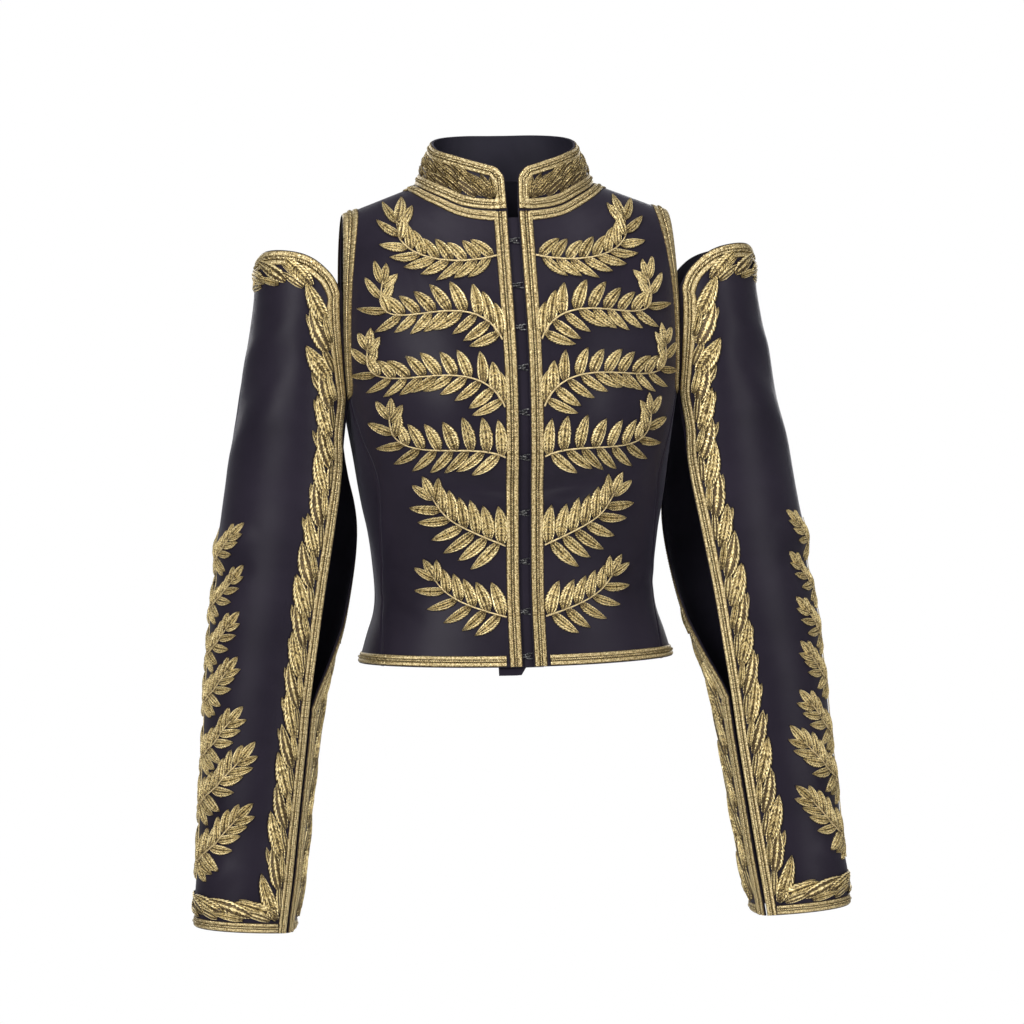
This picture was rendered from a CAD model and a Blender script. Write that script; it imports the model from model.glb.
"""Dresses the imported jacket: satin cloth with folds, cord braid, raised bullion leaves and wire hooks.

Lengths in the tables and in the form functions are in millimetres and become metres where a mesh is
made. X runs towards the wearer's left hand, the front faces -Y and Z is up. Form functions take arrays
of places and give arrays of points, so that a whole piece is placed in one call.
"""

import logging
import math
from dataclasses import dataclass
from enum import Enum
from typing import Callable, Sequence

import bpy
import numpy as np
from mathutils import Matrix, Vector


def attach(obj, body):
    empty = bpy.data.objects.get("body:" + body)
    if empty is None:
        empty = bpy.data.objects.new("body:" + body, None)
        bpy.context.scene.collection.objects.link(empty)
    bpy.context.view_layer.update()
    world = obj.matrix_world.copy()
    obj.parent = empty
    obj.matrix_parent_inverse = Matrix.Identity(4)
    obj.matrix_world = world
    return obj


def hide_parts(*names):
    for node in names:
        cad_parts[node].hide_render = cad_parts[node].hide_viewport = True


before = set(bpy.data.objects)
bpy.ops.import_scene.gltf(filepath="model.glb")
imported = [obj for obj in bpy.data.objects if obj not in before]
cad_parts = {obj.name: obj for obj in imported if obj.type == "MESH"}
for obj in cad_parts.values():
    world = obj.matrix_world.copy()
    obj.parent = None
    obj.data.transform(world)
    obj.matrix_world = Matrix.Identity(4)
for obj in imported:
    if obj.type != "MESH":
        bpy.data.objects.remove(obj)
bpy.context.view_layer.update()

METRES_PER_MM = 0.001
Points = np.ndarray
Row = tuple[float, ...]
Place = Callable[[Points, Points], Points]
Both = tuple[Points, Points]
Pair = tuple[float, float]
Colour = tuple[float, float, float]
Thing = bpy.types.Object
Socket = bpy.types.NodeSocket
Material = bpy.types.Material
Tree = bpy.types.NodeTree
Node = bpy.types.Node

log = logging.getLogger("jacket")

# Cloth and heights of the body
CLOTH = 1.8
HEM_Z = -429
HEM_RISE = 4
HEM_FADE = 60
CHEST_Z = -178
UNDERARM_DROP = 12
FRONT_EDGE_X = 5
SECTION_POWER = 2.4
# Rough sizes, from which the search for a place on a front starts
UPPER_LENGTH = 190
ROUGH_WIDTH = 150

# Body sections: height, half width, front depth, back depth
BODY_ROWS: tuple[Row, ...] = (
    (-440, 150, 108, 94), (-429, 146, 106, 92), (-400, 138, 99, 86), (-380, 132, 95, 82),
    (-362, 130, 93, 80), (-335, 131.5, 95, 80.5), (-305, 135, 100, 83), (-280, 140, 105, 88),
    (-259, 143.5, 110, 92), (-235, 147, 116, 95.5), (-205, 152, 120, 98), (-178, 156, 121, 99),
    (-150, 159, 118, 99),
)
# Princess seams: height, half distance apart in front, half distance apart at the back
SEAM_ROWS: tuple[Row, ...] = (
    (-440, 131, 96), (-429, 130, 94), (-400, 128.3, 88), (-362, 126.5, 83), (-320, 126.5, 90),
    (-280, 127.6, 103), (-258, 129, 111), (-240, 134, 120), (-223, 141, 130), (-200, 148, 142),
    (-178, 152.6, 149.5),
)
# Two soft cups over the bust and the crease under them
CUP_X = 74
CUP_Z = -205
CUP_REACH_X = 46
CUP_REACH_Z = 52
CUP_RISE = 9
CREASE_X = 42
CREASE_Z = -266
CREASE_REACH_X = 30
CREASE_REACH_Z = 10
CREASE_DEPTH = 4

# Neckline, shoulder and collar
NECK_HALF_WIDTH = 83
NECK_FRONT = 66
NECK_BACK = 50
# Neckline: degrees from the centre front, height of the seam, height of the collar's top edge
NECK_ROWS: tuple[Row, ...] = (
    (0, -11, 27), (14, -12, 30), (32, -8, 36), (51, 2.5, 42.5), (75, 13, 50), (90, 16.6, 56), (120, 22, 63),
    (150, 25, 66.5), (180, 26, 67),
)
SHOULDER_TIP = np.array((151, 4, -9))
SHOULDER_LEAN = 0.95
SHOULDER_GUIDE_Z = -60
NECK_LEAN = 0.35
COLLAR_TOP_HALF_WIDTH = 67
COLLAR_TOP_FRONT = 58
COLLAR_TOP_BACK = 44
COLLAR_LIFT = 0.4
COLLAR_CORNER = 7
COLLAR_FLARE = 2
COLLAR_HALF_LENGTH = 235
COLLAR_HEIGHT = 40
NECK_COLUMN = 0.45
NECK_COLUMN_TURN = 0.33

# Sleeve sections: height, outer side, middle, front to back half depth, middle's Y
SLEEVE_ROWS: tuple[Row, ...] = (
    (-675, 305.5, 259.5, 42, -28), (-660, 304.8, 258.5, 42, -27), (-620, 302.5, 253, 43.5, -23),
    (-590, 300, 250, 44.5, -20), (-555, 298, 246.8, 46, -17), (-509, 294, 241.5, 48, -13),
    (-453, 290.5, 235, 51, -9), (-415, 287, 228, 53, -6.5), (-388, 284, 222, 54.5, -5),
    (-333, 277.5, 212, 56.5, -2), (-300, 273, 207, 57, -1), (-277, 269.5, 205, 57, 0),
    (-250, 265, 204, 57, 0), (-222, 259.5, 201, 57, 0), (-195, 255, 198, 56.5, 0),
    (-176, 251.6, 195, 56, 0), (-140, 244.5, 189, 54.5, 0), (-92, 236.5, 186, 51.5, 0),
    (-60, 233.5, 185, 49, 0), (-40, 231, 184.5, 47, 0),
)
# Sleeve opening: height, the front edge's distance from the middle of the jacket
SLIT_ROWS: tuple[Row, ...] = (
    (-675, 223.5), (-660, 221.8), (-618, 215.5), (-556, 207.5), (-507, 201), (-457, 194.8), (-407, 187),
    (-358, 179), (-299, 168.5), (-259, 162), (-219, 158), (-193, 156.8), (-176, 156.5), (-140, 159.6),
    (-92, 161), (-40, 163),
)
# Sleeve opening: height, the back edge's turn round the sleeve in degrees, where it stands open
BACK_EDGE_ROWS: tuple[Row, ...] = (
    (-466, 309.5), (-450, 303), (-432, 294), (-410, 283), (-388, 274), (-360, 265), (-333, 259),
    (-300, 252), (-277, 247), (-250, 241), (-222, 234), (-195, 229), (-176, 226), (-140, 215), (-92, 210),
    (-40, 210),
)
SLIT_GAP_DEGREES = 3.4
# Top edge of a sleeve: share of the way round from its front edge to its back edge, height
SLEEVE_TOP_ROWS: tuple[Row, ...] = (
    (0, -84), (0.045, -66), (0.12, -51), (0.22, -44.5), (0.36, -43.5), (0.5, -50), (0.64, -43.5),
    (0.78, -44.5), (0.88, -51), (0.955, -66), (1, -84),
)
CUFF_Z = -660
CUFF_DROP = 8
CUFF_POWER = 1.5
SEWN_Z = -150
SEWN_STANDOFF = 0.5
FREE_STANDOFF = 1.8
BLEND_SHARE = 0.2
BLEND_LOW_Z = -225
SLEEVE_INSET = 3.4
BRAID_SHIFT_LOW_Z = -245
BRAID_SHIFT_REACH = 40
BRAID_SHIFT_TOP_Z = -70
BRAID_SHIFT_TOP_REACH = 20
EDGE_INSET = 0.5
SMALL_STEP = 0.002


class Wearer(Enum):
    """The two sides of the jacket, as the wearer has them."""

    LEFT = 1
    RIGHT = -1

    @property
    def word(self) -> str:
        """The side's word in the names of nodes and pieces."""
        return self.name.lower()


class Region(Enum):
    """The stretches of cloth that have their own folds."""

    FRONT = "front"
    BACK = "back"
    SLEEVE = "sleeve"
    COLLAR = "collar"


class Slot(Enum):
    """The record's material slots."""

    CLOTH = "dark_cloth"
    BRAID = "gold_braid"
    LEAVES = "gold_embroidery"
    METAL = "black_metal"


class Curve:
    """A smooth curve through a table's rows, read at values of its first column."""

    def __init__(self, rows: Sequence[Row]) -> None:
        """Keeps the rows and the slope at each of them."""
        table = np.array(rows, float)
        count = len(table)
        low = np.maximum(np.arange(count) - 1, 0)
        high = np.minimum(np.arange(count) + 1, count - 1)
        self.keys = table[:, 0]
        self.values = table[:, 1:]
        self.slopes = (self.values[high] - self.values[low]) / (self.keys[high] - self.keys[low])[:, None]

    def at(self, key: Points) -> Points:
        """The other columns, along a new first axis, at values of the first one."""
        key = np.clip(np.asarray(key, float), self.keys[0], self.keys[-1])
        index = np.clip(np.searchsorted(self.keys, key, side="right") - 1, 0, len(self.keys) - 2)
        span = (self.keys[index + 1] - self.keys[index])[..., None]
        share = (key[..., None] - self.keys[index][..., None]) / span
        value = hermite(self.values[index], self.slopes[index] * span,
                        self.values[index + 1], self.slopes[index + 1] * span, share)
        return np.moveaxis(value, -1, 0)


def hermite(start: Points, leaving: Points, end: Points, arriving: Points, share: Points) -> Points:
    """A smooth way between two values.

    Args:
        start, leaving: The value and the slope at share 0.
        end, arriving: The value and the slope at share 1.
        share: How far along, 0 to 1.

    Returns:
        The value at each share.
    """
    to_end = share * share * (3 - 2 * share)
    return (start * (1 - to_end) + end * to_end + leaving * share * (1 - share) ** 2
            - arriving * share * share * (1 - share))


def smooth_step(value: Points) -> Points:
    """Goes softly from 0 to 1 as the value does."""
    value = np.clip(value, 0, 1)
    return value * value * (3 - 2 * value)


def unit(vector: Points) -> Points:
    """Vectors of length one along the last axis."""
    return vector / np.maximum(np.linalg.norm(vector, axis=-1, keepdims=True), 1e-9)


def hump(distance: Points, reach: float) -> Points:
    """A soft hump, 1 at no distance."""
    return np.exp(-(distance / reach) ** 2)


def stacked(x: Points, y: Points, z: Points) -> Points:
    """Points from their three coordinates."""
    return np.stack(np.broadcast_arrays(x, y, z), axis=-1).astype(float)


BODY = Curve(BODY_ROWS)
SEAMS = Curve(SEAM_ROWS)
NECK = Curve(NECK_ROWS)
SLEEVE = Curve(SLEEVE_ROWS)
SLIT = Curve(SLIT_ROWS)
BACK_EDGE = Curve(BACK_EDGE_ROWS)
SLEEVE_TOP = Curve(SLEEVE_TOP_ROWS)


def body_point(turn: Points, z: Points) -> Points:
    """Points on the left of the body, at degrees round a section from the centre front."""
    half_width, front, back = BODY.at(z)
    power = 2 / SECTION_POWER
    sine = np.maximum(np.sin(np.radians(turn)), 0)
    cosine = np.cos(np.radians(turn))
    x = half_width * sine ** power
    y = -np.sign(cosine) * np.where(cosine > 0, front, back) * np.abs(cosine) ** power
    cup = CUP_RISE * hump(x - CUP_X, CUP_REACH_X) * hump(z - CUP_Z, CUP_REACH_Z)
    crease = CREASE_DEPTH * hump(x - CREASE_X, CREASE_REACH_X) * hump(z - CREASE_Z, CREASE_REACH_Z)
    return stacked(x, y + np.where(cosine > 0, (crease - cup) * cosine, 0), z)


def turn_at(x: Points, z: Points) -> Points:
    """The turn, from the centre front or the centre back, at which a section reaches an x."""
    half_width = BODY.at(z)[0]
    return np.degrees(np.arcsin(np.minimum(x / half_width, 1) ** (SECTION_POWER / 2)))


def rough_share(z: Points) -> Points:
    """The share v, roughly, at which a main panel reaches a height."""
    return np.where(z > CHEST_Z, 1 + (z - CHEST_Z) / UPPER_LENGTH, (z - HEM_Z) / (CHEST_Z - HEM_Z))


def neck_point(turn: Points) -> Points:
    """Points on the neck seam, at turns in degrees from the centre front."""
    radians = np.radians(turn)
    depth = np.where(np.asarray(turn) < 90, NECK_FRONT, NECK_BACK)
    return stacked(NECK_HALF_WIDTH * np.sin(radians), -depth * np.cos(radians), NECK.at(turn)[0])


def cuff_height(s: Points) -> Points:
    """The height of a sleeve's lower edge, lowest beside its opening."""
    return CUFF_Z - CUFF_DROP * np.abs(2 * s - 1) ** CUFF_POWER


def mean_radius(z: Points) -> Points:
    """The mean of a sleeve section's two half widths."""
    outer, middle, depth = SLEEVE.at(z)[:3]
    return (outer - middle + depth) / 2


@dataclass(frozen=True)
class Fold:
    """A soft ridge, or a trough if its height is below 0, along a bent line of a region's chart."""

    region: Region
    start: Pair
    pull: Pair
    end: Pair
    height: float
    left: float
    right: float
    only: Wearer | None = None

    STEPS = 14
    END_POWER = 0.8

    def depth(self, a: Points, b: Points) -> Points:
        """How far the fold moves the cloth out.

        Args:
            a, b: Places in the chart.

        Returns:
            The moves.
        """
        share = np.linspace(0, 1, self.STEPS + 1)[:, None]
        start, pull, end = (np.array(point) for point in (self.start, self.pull, self.end))
        line = start * (1 - share) ** 2 + pull * 2 * share * (1 - share) + end * share ** 2
        place = np.stack((a, b), axis=-1)
        nearest = np.full(np.shape(a), 1e9)
        made = np.zeros(np.shape(a))
        for step in range(self.STEPS):
            way = line[step + 1] - line[step]
            along = np.clip(((place - line[step]) @ way) / (way @ way), 0, 1)
            off = place - (line[step] + along[..., None] * way)
            distance = np.linalg.norm(off, axis=-1)
            is_left = way[0] * off[..., 1] - way[1] * off[..., 0] > 0
            reach = np.where(is_left, self.left, self.right)
            whole = (step + along) / self.STEPS
            value = self.height * hump(distance, reach) * np.sin(np.pi * whole) ** self.END_POWER
            closer = distance < nearest
            made = np.where(closer, value, made)
            nearest = np.where(closer, distance, nearest)
        return made


# Folds, by distance from the middle and height on the body, by length from the outer line and height on a
# sleeve: start, pull, end, height, reach to the left and to the right, and the side if only one has it
FOLD_ROWS: dict[Region, tuple[tuple, ...]] = {
    Region.FRONT: (
        (12, -272, 48, -262, 100, -256, -3.4, 12, 9), (24, -290, 60, -286, 112, -304, 1.9, 8, 12),
        (84, -262, 112, -240, 146, -196, -1.4, 11, 7), (128, -330, 112, -345, 84, -352, -1.5, 6, 9),
        (134, -362, 116, -372, 92, -388, -1.4, 7, 5, Wearer.RIGHT),
        (134, -352, 112, -366, 88, -372, -1.4, 5, 8, Wearer.LEFT), (86, -6, 112, -36, 134, -92, 1.4, 12, 8),
        (138, -40, 130, -90, 140, -150, -1.1, 7, 10), (136, -205, 122, -262, 131, -330, 1.2, 9, 6),
    ),
    Region.BACK: (
        (0, -352, 46, -344, 92, -356, -2.2, 8, 5), (0, -370, 40, -376, 84, -368, 1.7, 6, 9),
        (20, -330, 60, -318, 108, -338, 1.4, 9, 6), (128, -60, 96, -110, 60, -128, -1.8, 9, 13),
        (136, -120, 104, -150, 72, -160, 1.4, 12, 8), (96, -16, 70, -44, 30, -60, -1.3, 12, 8),
        (60, -232, 84, -270, 92, -322, -1.4, 12, 8),
    ),
    Region.SLEEVE: (
        (74, -112, 34, -122, -10, -158, 1.8, 17, 12), (74, -142, 36, -160, -8, -206, -1.9, 13, 19),
        (74, -186, 38, -204, -10, -246, 1.9, 18, 13), (62, -300, 34, -322, -16, -318, 2.8, 10, 15),
        (64, -332, 30, -352, -18, -344, -2.5, 9, 13),
        (56, -372, 24, -384, -10, -372, 1.8, 8, 12, Wearer.RIGHT),
        (58, -392, 30, -398, -6, -388, 2, 9, 12, Wearer.LEFT), (50, -440, 40, -510, 46, -590, 1.5, 12, 9),
        (56, -600, 34, -624, -4, -640, 2.1, 9, 12), (-30, -90, -18, -170, -34, -280, 2.7, 14, 10),
        (-66, -110, -54, -190, -60, -270, -2.2, 12, 15), (-24, -312, -58, -330, -96, -318, -2.4, 9, 12),
        (-28, -352, -60, -372, -104, -366, 2.4, 10, 14), (-34, -430, -56, -500, -50, -580, 1.7, 11, 8),
        (-20, -600, -50, -618, -84, -606, -1.7, 8, 11),
    ),
}
FOLDS = tuple(Fold(region, row[:2], row[2:4], row[4:6], *row[6:])
              for region, rows in FOLD_ROWS.items() for row in rows)


def fold_depth(region: Region, side: Wearer, a: Points, b: Points) -> Points:
    """How far all folds of a region move the cloth out, at places of its chart."""
    moved = np.zeros(np.broadcast(a, b).shape)
    for fold in FOLDS:
        if fold.region is region and fold.only in (None, side):
            moved = moved + fold.depth(np.broadcast_to(a, moved.shape), np.broadcast_to(b, moved.shape))
    return moved


class Surface:
    """A patch of cloth read at two shares of its sides, with its outward normal and its folds."""

    region = Region.COLLAR
    v_limit = 1

    def __init__(self, side: Wearer) -> None:
        """Keeps the wearer's side that the patch is on."""
        self.side = side

    def local_point(self, s: Points, v: Points) -> Points:
        """Points as they'd be on the wearer's left."""
        raise NotImplementedError

    def outward_guide(self, point: Points) -> Points:
        """A direction that is roughly outward at each point."""
        return point * np.array((1, 1, 0))

    def fold_place(self, s: Points, v: Points) -> Both:
        """The places in the region's chart at which the folds are read."""
        point = self.point(s, v)
        return np.abs(point[..., 0]), point[..., 2]

    def point(self, s: Points, v: Points) -> Points:
        """Points at shares of the two sides."""
        return self.local_point(np.asarray(s, float), np.asarray(v, float)) * np.array(
            (self.side.value, 1, 1))

    def slopes(self, s: Points, v: Points) -> Both:
        """The moves for a whole share of each side."""
        s_low, s_high = np.maximum(s - SMALL_STEP, 0), np.minimum(s + SMALL_STEP, 1)
        v_low, v_high = np.maximum(v - SMALL_STEP, 0), np.minimum(v + SMALL_STEP, self.v_limit)
        along_s = (self.point(s_high, v) - self.point(s_low, v)) / (s_high - s_low)[..., None]
        along_v = (self.point(s, v_high) - self.point(s, v_low)) / (v_high - v_low)[..., None]
        return along_s, along_v

    def normal(self, s: Points, v: Points) -> Points:
        """Outward normals, without the folds."""
        s, v = np.broadcast_arrays(np.asarray(s, float), np.asarray(v, float))
        normal = unit(np.cross(*self.slopes(s, v)))
        facing = np.sum(normal * self.outward_guide(self.point(s, v)), axis=-1, keepdims=True)
        return np.where(facing > 0, normal, -normal)

    def dressed(self, s: Points, v: Points) -> Both:
        """Points on the folded cloth and the normals there."""
        normal = self.normal(s, v)
        depth = fold_depth(self.region, self.side, *self.fold_place(s, v))
        return self.point(s, v) + normal * depth[..., None], normal

    def moved(self, s: Points, v: Points, shift: Points) -> Both:
        """The shares reached after a short move along the patch."""
        for _ in range(2):
            along_s, along_v = self.slopes(s, v)
            ss, sv, vv = ((p * q).sum(-1) for p, q in ((along_s, along_s), (along_s, along_v),
                                                       (along_v, along_v)))
            to_s, to_v = ((shift * 0.5 * p).sum(-1) for p in (along_s, along_v))
            size = ss * vv - sv * sv
            s = np.clip(s + (to_s * vv - to_v * sv) / size, 0, 1)
            v = np.clip(v + (to_v * ss - to_s * sv) / size, 0, self.v_limit)
        return s, v

    def found(self, s: Points, v: Points, x: Points, z: Points) -> Both:
        """The shares at which the patch meets a wanted x and z, from a guess near them."""
        for _ in range(8):
            point = self.point(s, v)
            along_s, along_v = self.slopes(s, v)
            off_x, off_z = x - point[..., 0], z - point[..., 2]
            size = along_s[..., 0] * along_v[..., 2] - along_s[..., 2] * along_v[..., 0]
            size = np.where(np.abs(size) < 1, 1, size)
            s = np.clip(s + (off_x * along_v[..., 2] - off_z * along_v[..., 0]) / size, 0, 1)
            v = np.clip(v + (off_z * along_s[..., 0] - off_x * along_s[..., 2]) / size, 0, self.v_limit)
        return s, v


class Panel(Surface):
    """A panel of the body, ahead of the side seam or behind it."""

    def __init__(self, side: Wearer, is_front: bool) -> None:
        """Keeps the side and whether the panel is ahead of the side seam."""
        super().__init__(side)
        self.is_front = is_front
        self.region = Region.FRONT if is_front else Region.BACK

    def seam_turn(self, z: Points) -> Points:
        """The turn to the princess seam, from the centre front or the centre back."""
        front_seam, back_seam = SEAMS.at(z)
        return turn_at(front_seam if self.is_front else back_seam, z)

    def from_front(self, turn: Points) -> Points:
        """A turn from the panel's own centre line as one from the centre front."""
        return turn if self.is_front else 180 - turn


class MainPanel(Panel):
    """A front or a back panel: v runs 0 to 1 from the hem to the chest and on to 2 at the top."""

    v_limit = 2

    def _lower(self, s: Points, z: Points) -> Points:
        """Points of the part below the chest, at heights."""
        inner = turn_at(FRONT_EDGE_X, z) if self.is_front else 0
        outer = self.seam_turn(z)
        rest = (1 - NECK_COLUMN_TURN) * (s - NECK_COLUMN) / (1 - NECK_COLUMN)
        column = np.where(s < NECK_COLUMN, NECK_COLUMN_TURN * s / NECK_COLUMN, NECK_COLUMN_TURN + rest)
        turn = inner + (outer - inner) * column
        return body_point(self.from_front(turn), z)

    def _top(self, s: Points) -> Both:
        """The top points of columns and the directions in which the columns reach them."""
        forward = np.array((0, 1 if self.is_front else -1, 0))
        neck_corner = neck_point(np.array(90))
        seam = unit(SHOULDER_TIP - neck_corner)
        corner = unit(-SHOULDER_LEAN * seam + forward)
        share = np.clip(s / NECK_COLUMN, 0, 1)[..., None]
        start = math.degrees(math.asin(FRONT_EDGE_X / NECK_HALF_WIDTH)) if self.is_front else 0
        turn = start + (90 - start) * share[..., 0]
        neck = neck_point(self.from_front(turn))
        middle = forward * NECK_LEAN + np.array((0, 0, 1))
        neck_way = unit(middle * (1 - share) + corner * share)
        along = np.clip((s - NECK_COLUMN) / (1 - NECK_COLUMN), 0, 1)[..., None]
        shoulder = neck_corner * (1 - along) + SHOULDER_TIP * along
        shoulder_way = unit(-SHOULDER_LEAN * (1 - along) * seam + forward)
        on_neck = (s < NECK_COLUMN)[..., None]
        return np.where(on_neck, neck, shoulder), np.where(on_neck, neck_way, shoulder_way)

    def local_point(self, s: Points, v: Points) -> Points:
        """Points as they'd be on the wearer's left."""
        s, v = np.broadcast_arrays(s, v)
        z = HEM_Z + (CHEST_Z - HEM_Z) * np.minimum(v, 1)
        lower = raised_hem(self._lower(s, z), z)
        chest = np.full(s.shape, CHEST_Z)
        start = self._lower(s, chest)
        leaving = (self._lower(s, chest + 1) - self._lower(s, chest - 1)) / 2
        end, arriving = self._top(s)
        length = np.linalg.norm(end - start, axis=-1, keepdims=True)
        share = np.maximum(v - 1, 0)[..., None]
        upper = hermite(start, leaving * length, end, arriving * length, share)
        return np.where((v <= 1)[..., None], lower, upper)

    def outward_guide(self, point: Points) -> Points:
        """A direction that is roughly outward, and upward over the shoulder."""
        guide = point * np.array((1, 1, 0))
        guide[..., 2] = np.where(point[..., 2] > SHOULDER_GUIDE_Z, 60, 0)
        return guide


def raised_hem(point: Points, z: Points) -> Points:
    """Lifts the hem a little at the sides, fading out above it."""
    fade = smooth_step(1 - (z - HEM_Z) / HEM_FADE)
    lift = HEM_RISE * fade * (point[..., 0] / BODY.at(HEM_Z)[0]) ** 2
    return point + stacked(0, 0, lift)


class SidePanel(Panel):
    """A side panel: s runs from its princess seam to the side seam, v from the hem to the underarm."""

    def local_point(self, s: Points, v: Points) -> Points:
        """Points as they'd be on the wearer's left."""
        s, v = np.broadcast_arrays(s, v)
        top = CHEST_Z - UNDERARM_DROP * smooth_step(s)
        z = HEM_Z + (top - HEM_Z) * v
        seam = self.seam_turn(z)
        return raised_hem(body_point(self.from_front(seam + (90 - seam) * s), z), z)


class CollarHalf(Surface):
    """Half of the standing collar: s from the centre front to the centre back, v up from the seam."""

    START = math.degrees(math.asin(FRONT_EDGE_X / NECK_HALF_WIDTH))

    def local_point(self, s: Points, v: Points) -> Points:
        """Points as they'd be on the wearer's left."""
        turn = self.START + (180 - self.START) * s
        radians = np.radians(turn)
        bottom = neck_point(turn) + np.array((0, 0, COLLAR_LIFT))
        depth = np.where(turn < 90, COLLAR_TOP_FRONT, COLLAR_TOP_BACK)
        x = COLLAR_TOP_HALF_WIDTH * np.sin(radians) + COLLAR_FLARE * smooth_step(1 - s * 8)
        z = NECK.at(turn)[1] - COLLAR_CORNER * smooth_step(1 - s * 18) ** 2
        top = stacked(x, -depth * np.cos(radians), z)
        return bottom + (top - bottom) * v[..., None]


class SleeveTube(Surface):
    """A sleeve: s from the front edge of its opening round to the back edge, v from cuff to top."""

    region = Region.SLEEVE

    def __init__(self, side: Wearer) -> None:
        """Keeps the side and the two halves of the armhole that the sleeve is sewn to."""
        super().__init__(side)
        self.armholes = [self._armhole(MainPanel(Wearer.LEFT, is_front)) for is_front in (True, False)]

    @staticmethod
    def _armhole(panel: MainPanel) -> Curve:
        """The panel's armhole edge: height, X, Y."""
        share = 1 + np.arange(13) / 12
        return Curve(panel.local_point(np.ones(13), share)[:, [2, 0, 1]])

    @staticmethod
    def edge_turns(z: Points) -> Both:
        """The turns in degrees at which the opening's front and back edges lie."""
        outer, middle = SLEEVE.at(z)[:2]
        front = np.degrees(np.arcsin((SLIT.at(z)[0] - middle) / (outer - middle)))
        back = np.where(z < BACK_EDGE_ROWS[0][0], front + 360 - SLIT_GAP_DEGREES, BACK_EDGE.at(z)[0])
        return front, back

    def turn(self, s: Points, z: Points) -> Points:
        """The turn at a share of the way round."""
        front, back = self.edge_turns(z)
        return front + (back - front) * s

    def length(self, s: Points, z: Points) -> Points:
        """The length from the outer line towards the front."""
        return np.radians(90 - self.turn(s, z)) * mean_radius(z)

    @staticmethod
    def _section(turn: Points, z: Points) -> Points:
        """Points of a section at turns from its front."""
        outer, middle, depth, middle_y = SLEEVE.at(z)
        radians = np.radians(turn)
        return stacked(middle + (outer - middle) * np.sin(radians), middle_y - depth * np.cos(radians), z)

    def _edge_shift(self, z: Points, edge: int) -> Points:
        """What brings the front edge, 0, or the back edge, 1, beside its armhole."""
        reach = smooth_step((z - BLEND_LOW_Z) / (CHEST_Z - BLEND_LOW_Z))
        height = np.maximum(z, CHEST_Z)
        x, y = self.armholes[edge].at(height)
        at_edge = self._section(self.edge_turns(height)[edge], height)
        free = smooth_step((height - SEWN_Z) / 60)
        standoff = SEWN_STANDOFF + (FREE_STANDOFF - SEWN_STANDOFF) * free
        shift = stacked(x + standoff - at_edge[..., 0], y - at_edge[..., 1], 0)
        return shift * reach[..., None]

    def local_point(self, s: Points, v: Points) -> Points:
        """Points as they'd be on the wearer's left."""
        s, v = np.broadcast_arrays(s, v)
        bottom = cuff_height(s)
        z = bottom + (SLEEVE_TOP.at(s)[0] - bottom) * v
        point = self._section(self.turn(s, z), z)
        near_front = np.clip(1 - s / BLEND_SHARE, 0, 1) ** 2
        near_back = np.clip(1 - (1 - s) / BLEND_SHARE, 0, 1) ** 2
        return (point + self._edge_shift(z, 0) * near_front[..., None]
                + self._edge_shift(z, 1) * near_back[..., None])

    def outward_guide(self, point: Points) -> Points:
        """From the middle of the section."""
        middle, _, middle_y = SLEEVE.at(point[..., 2])[1:]
        return point - stacked(self.side.value * middle, middle_y, point[..., 2])

    def fold_place(self, s: Points, v: Points) -> Both:
        """Length from the outer line towards the front, and height."""
        z = self.point(s, v)[..., 2]
        return self.length(s, z), z


@dataclass
class Chart:
    """Plain coordinates on a stretch of cloth, in millimetres."""

    surface: Surface

    def place(self, a: Points, b: Points) -> Both:
        """The points on the folded cloth and their normals."""
        raise NotImplementedError

    def raised(self, a: Points, b: Points, height: Points) -> Points:
        """Points at heights above the folded cloth."""
        point, normal = self.place(a, b)
        return point + normal * np.asarray(height)[..., None]


class FrontChart(Chart):
    """Coordinates of a front as seen from ahead: distance from the middle, and height."""

    def place(self, a: Points, b: Points) -> Both:
        """The points on the folded cloth and their normals."""
        v = rough_share(b)
        x = a * self.surface.side.value
        s = np.minimum(a / ROUGH_WIDTH, 0.95)
        point, normal = self.surface.dressed(*self.surface.found(s, v, x, b))
        on_side = (b < CHEST_Z) & (a > SEAMS.at(np.minimum(b, CHEST_Z))[0])
        if np.any(on_side):
            panel = SidePanel(self.surface.side, True)
            guess = np.full(int(on_side.sum()), 0.3)
            shares = panel.found(guess, v[on_side], x[on_side], b[on_side])
            point[on_side], normal[on_side] = panel.dressed(*shares)
        return point, normal


class SleeveChart(Chart):
    """Coordinates on a sleeve: length round it from its outer line, towards the front, and height."""

    def place(self, a: Points, b: Points) -> Both:
        """The points on the folded cloth and their normals."""
        front, back = self.surface.edge_turns(b)
        s = np.clip((90 - np.degrees(a / mean_radius(b)) - front) / (back - front), 0, 1)
        bottom = cuff_height(s)
        return self.surface.dressed(s, np.clip((b - bottom) / (SLEEVE_TOP.at(s)[0] - bottom), 0, 1))

    def at_share(self, s: Points, z: Points) -> Points:
        """Places in the chart at shares of the way round between the opening's edges."""
        return np.stack(np.broadcast_arrays(self.surface.length(s, z), z), axis=-1)


class CollarChart(Chart):
    """Coordinates on one half of the collar: length from the centre front, and height."""

    def place(self, a: Points, b: Points) -> Both:
        """The points on the cloth and their normals."""
        s = np.clip(a / COLLAR_HALF_LENGTH, 0, 1)
        return self.surface.dressed(s, np.clip(b / COLLAR_HEIGHT, 0, 1))


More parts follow.
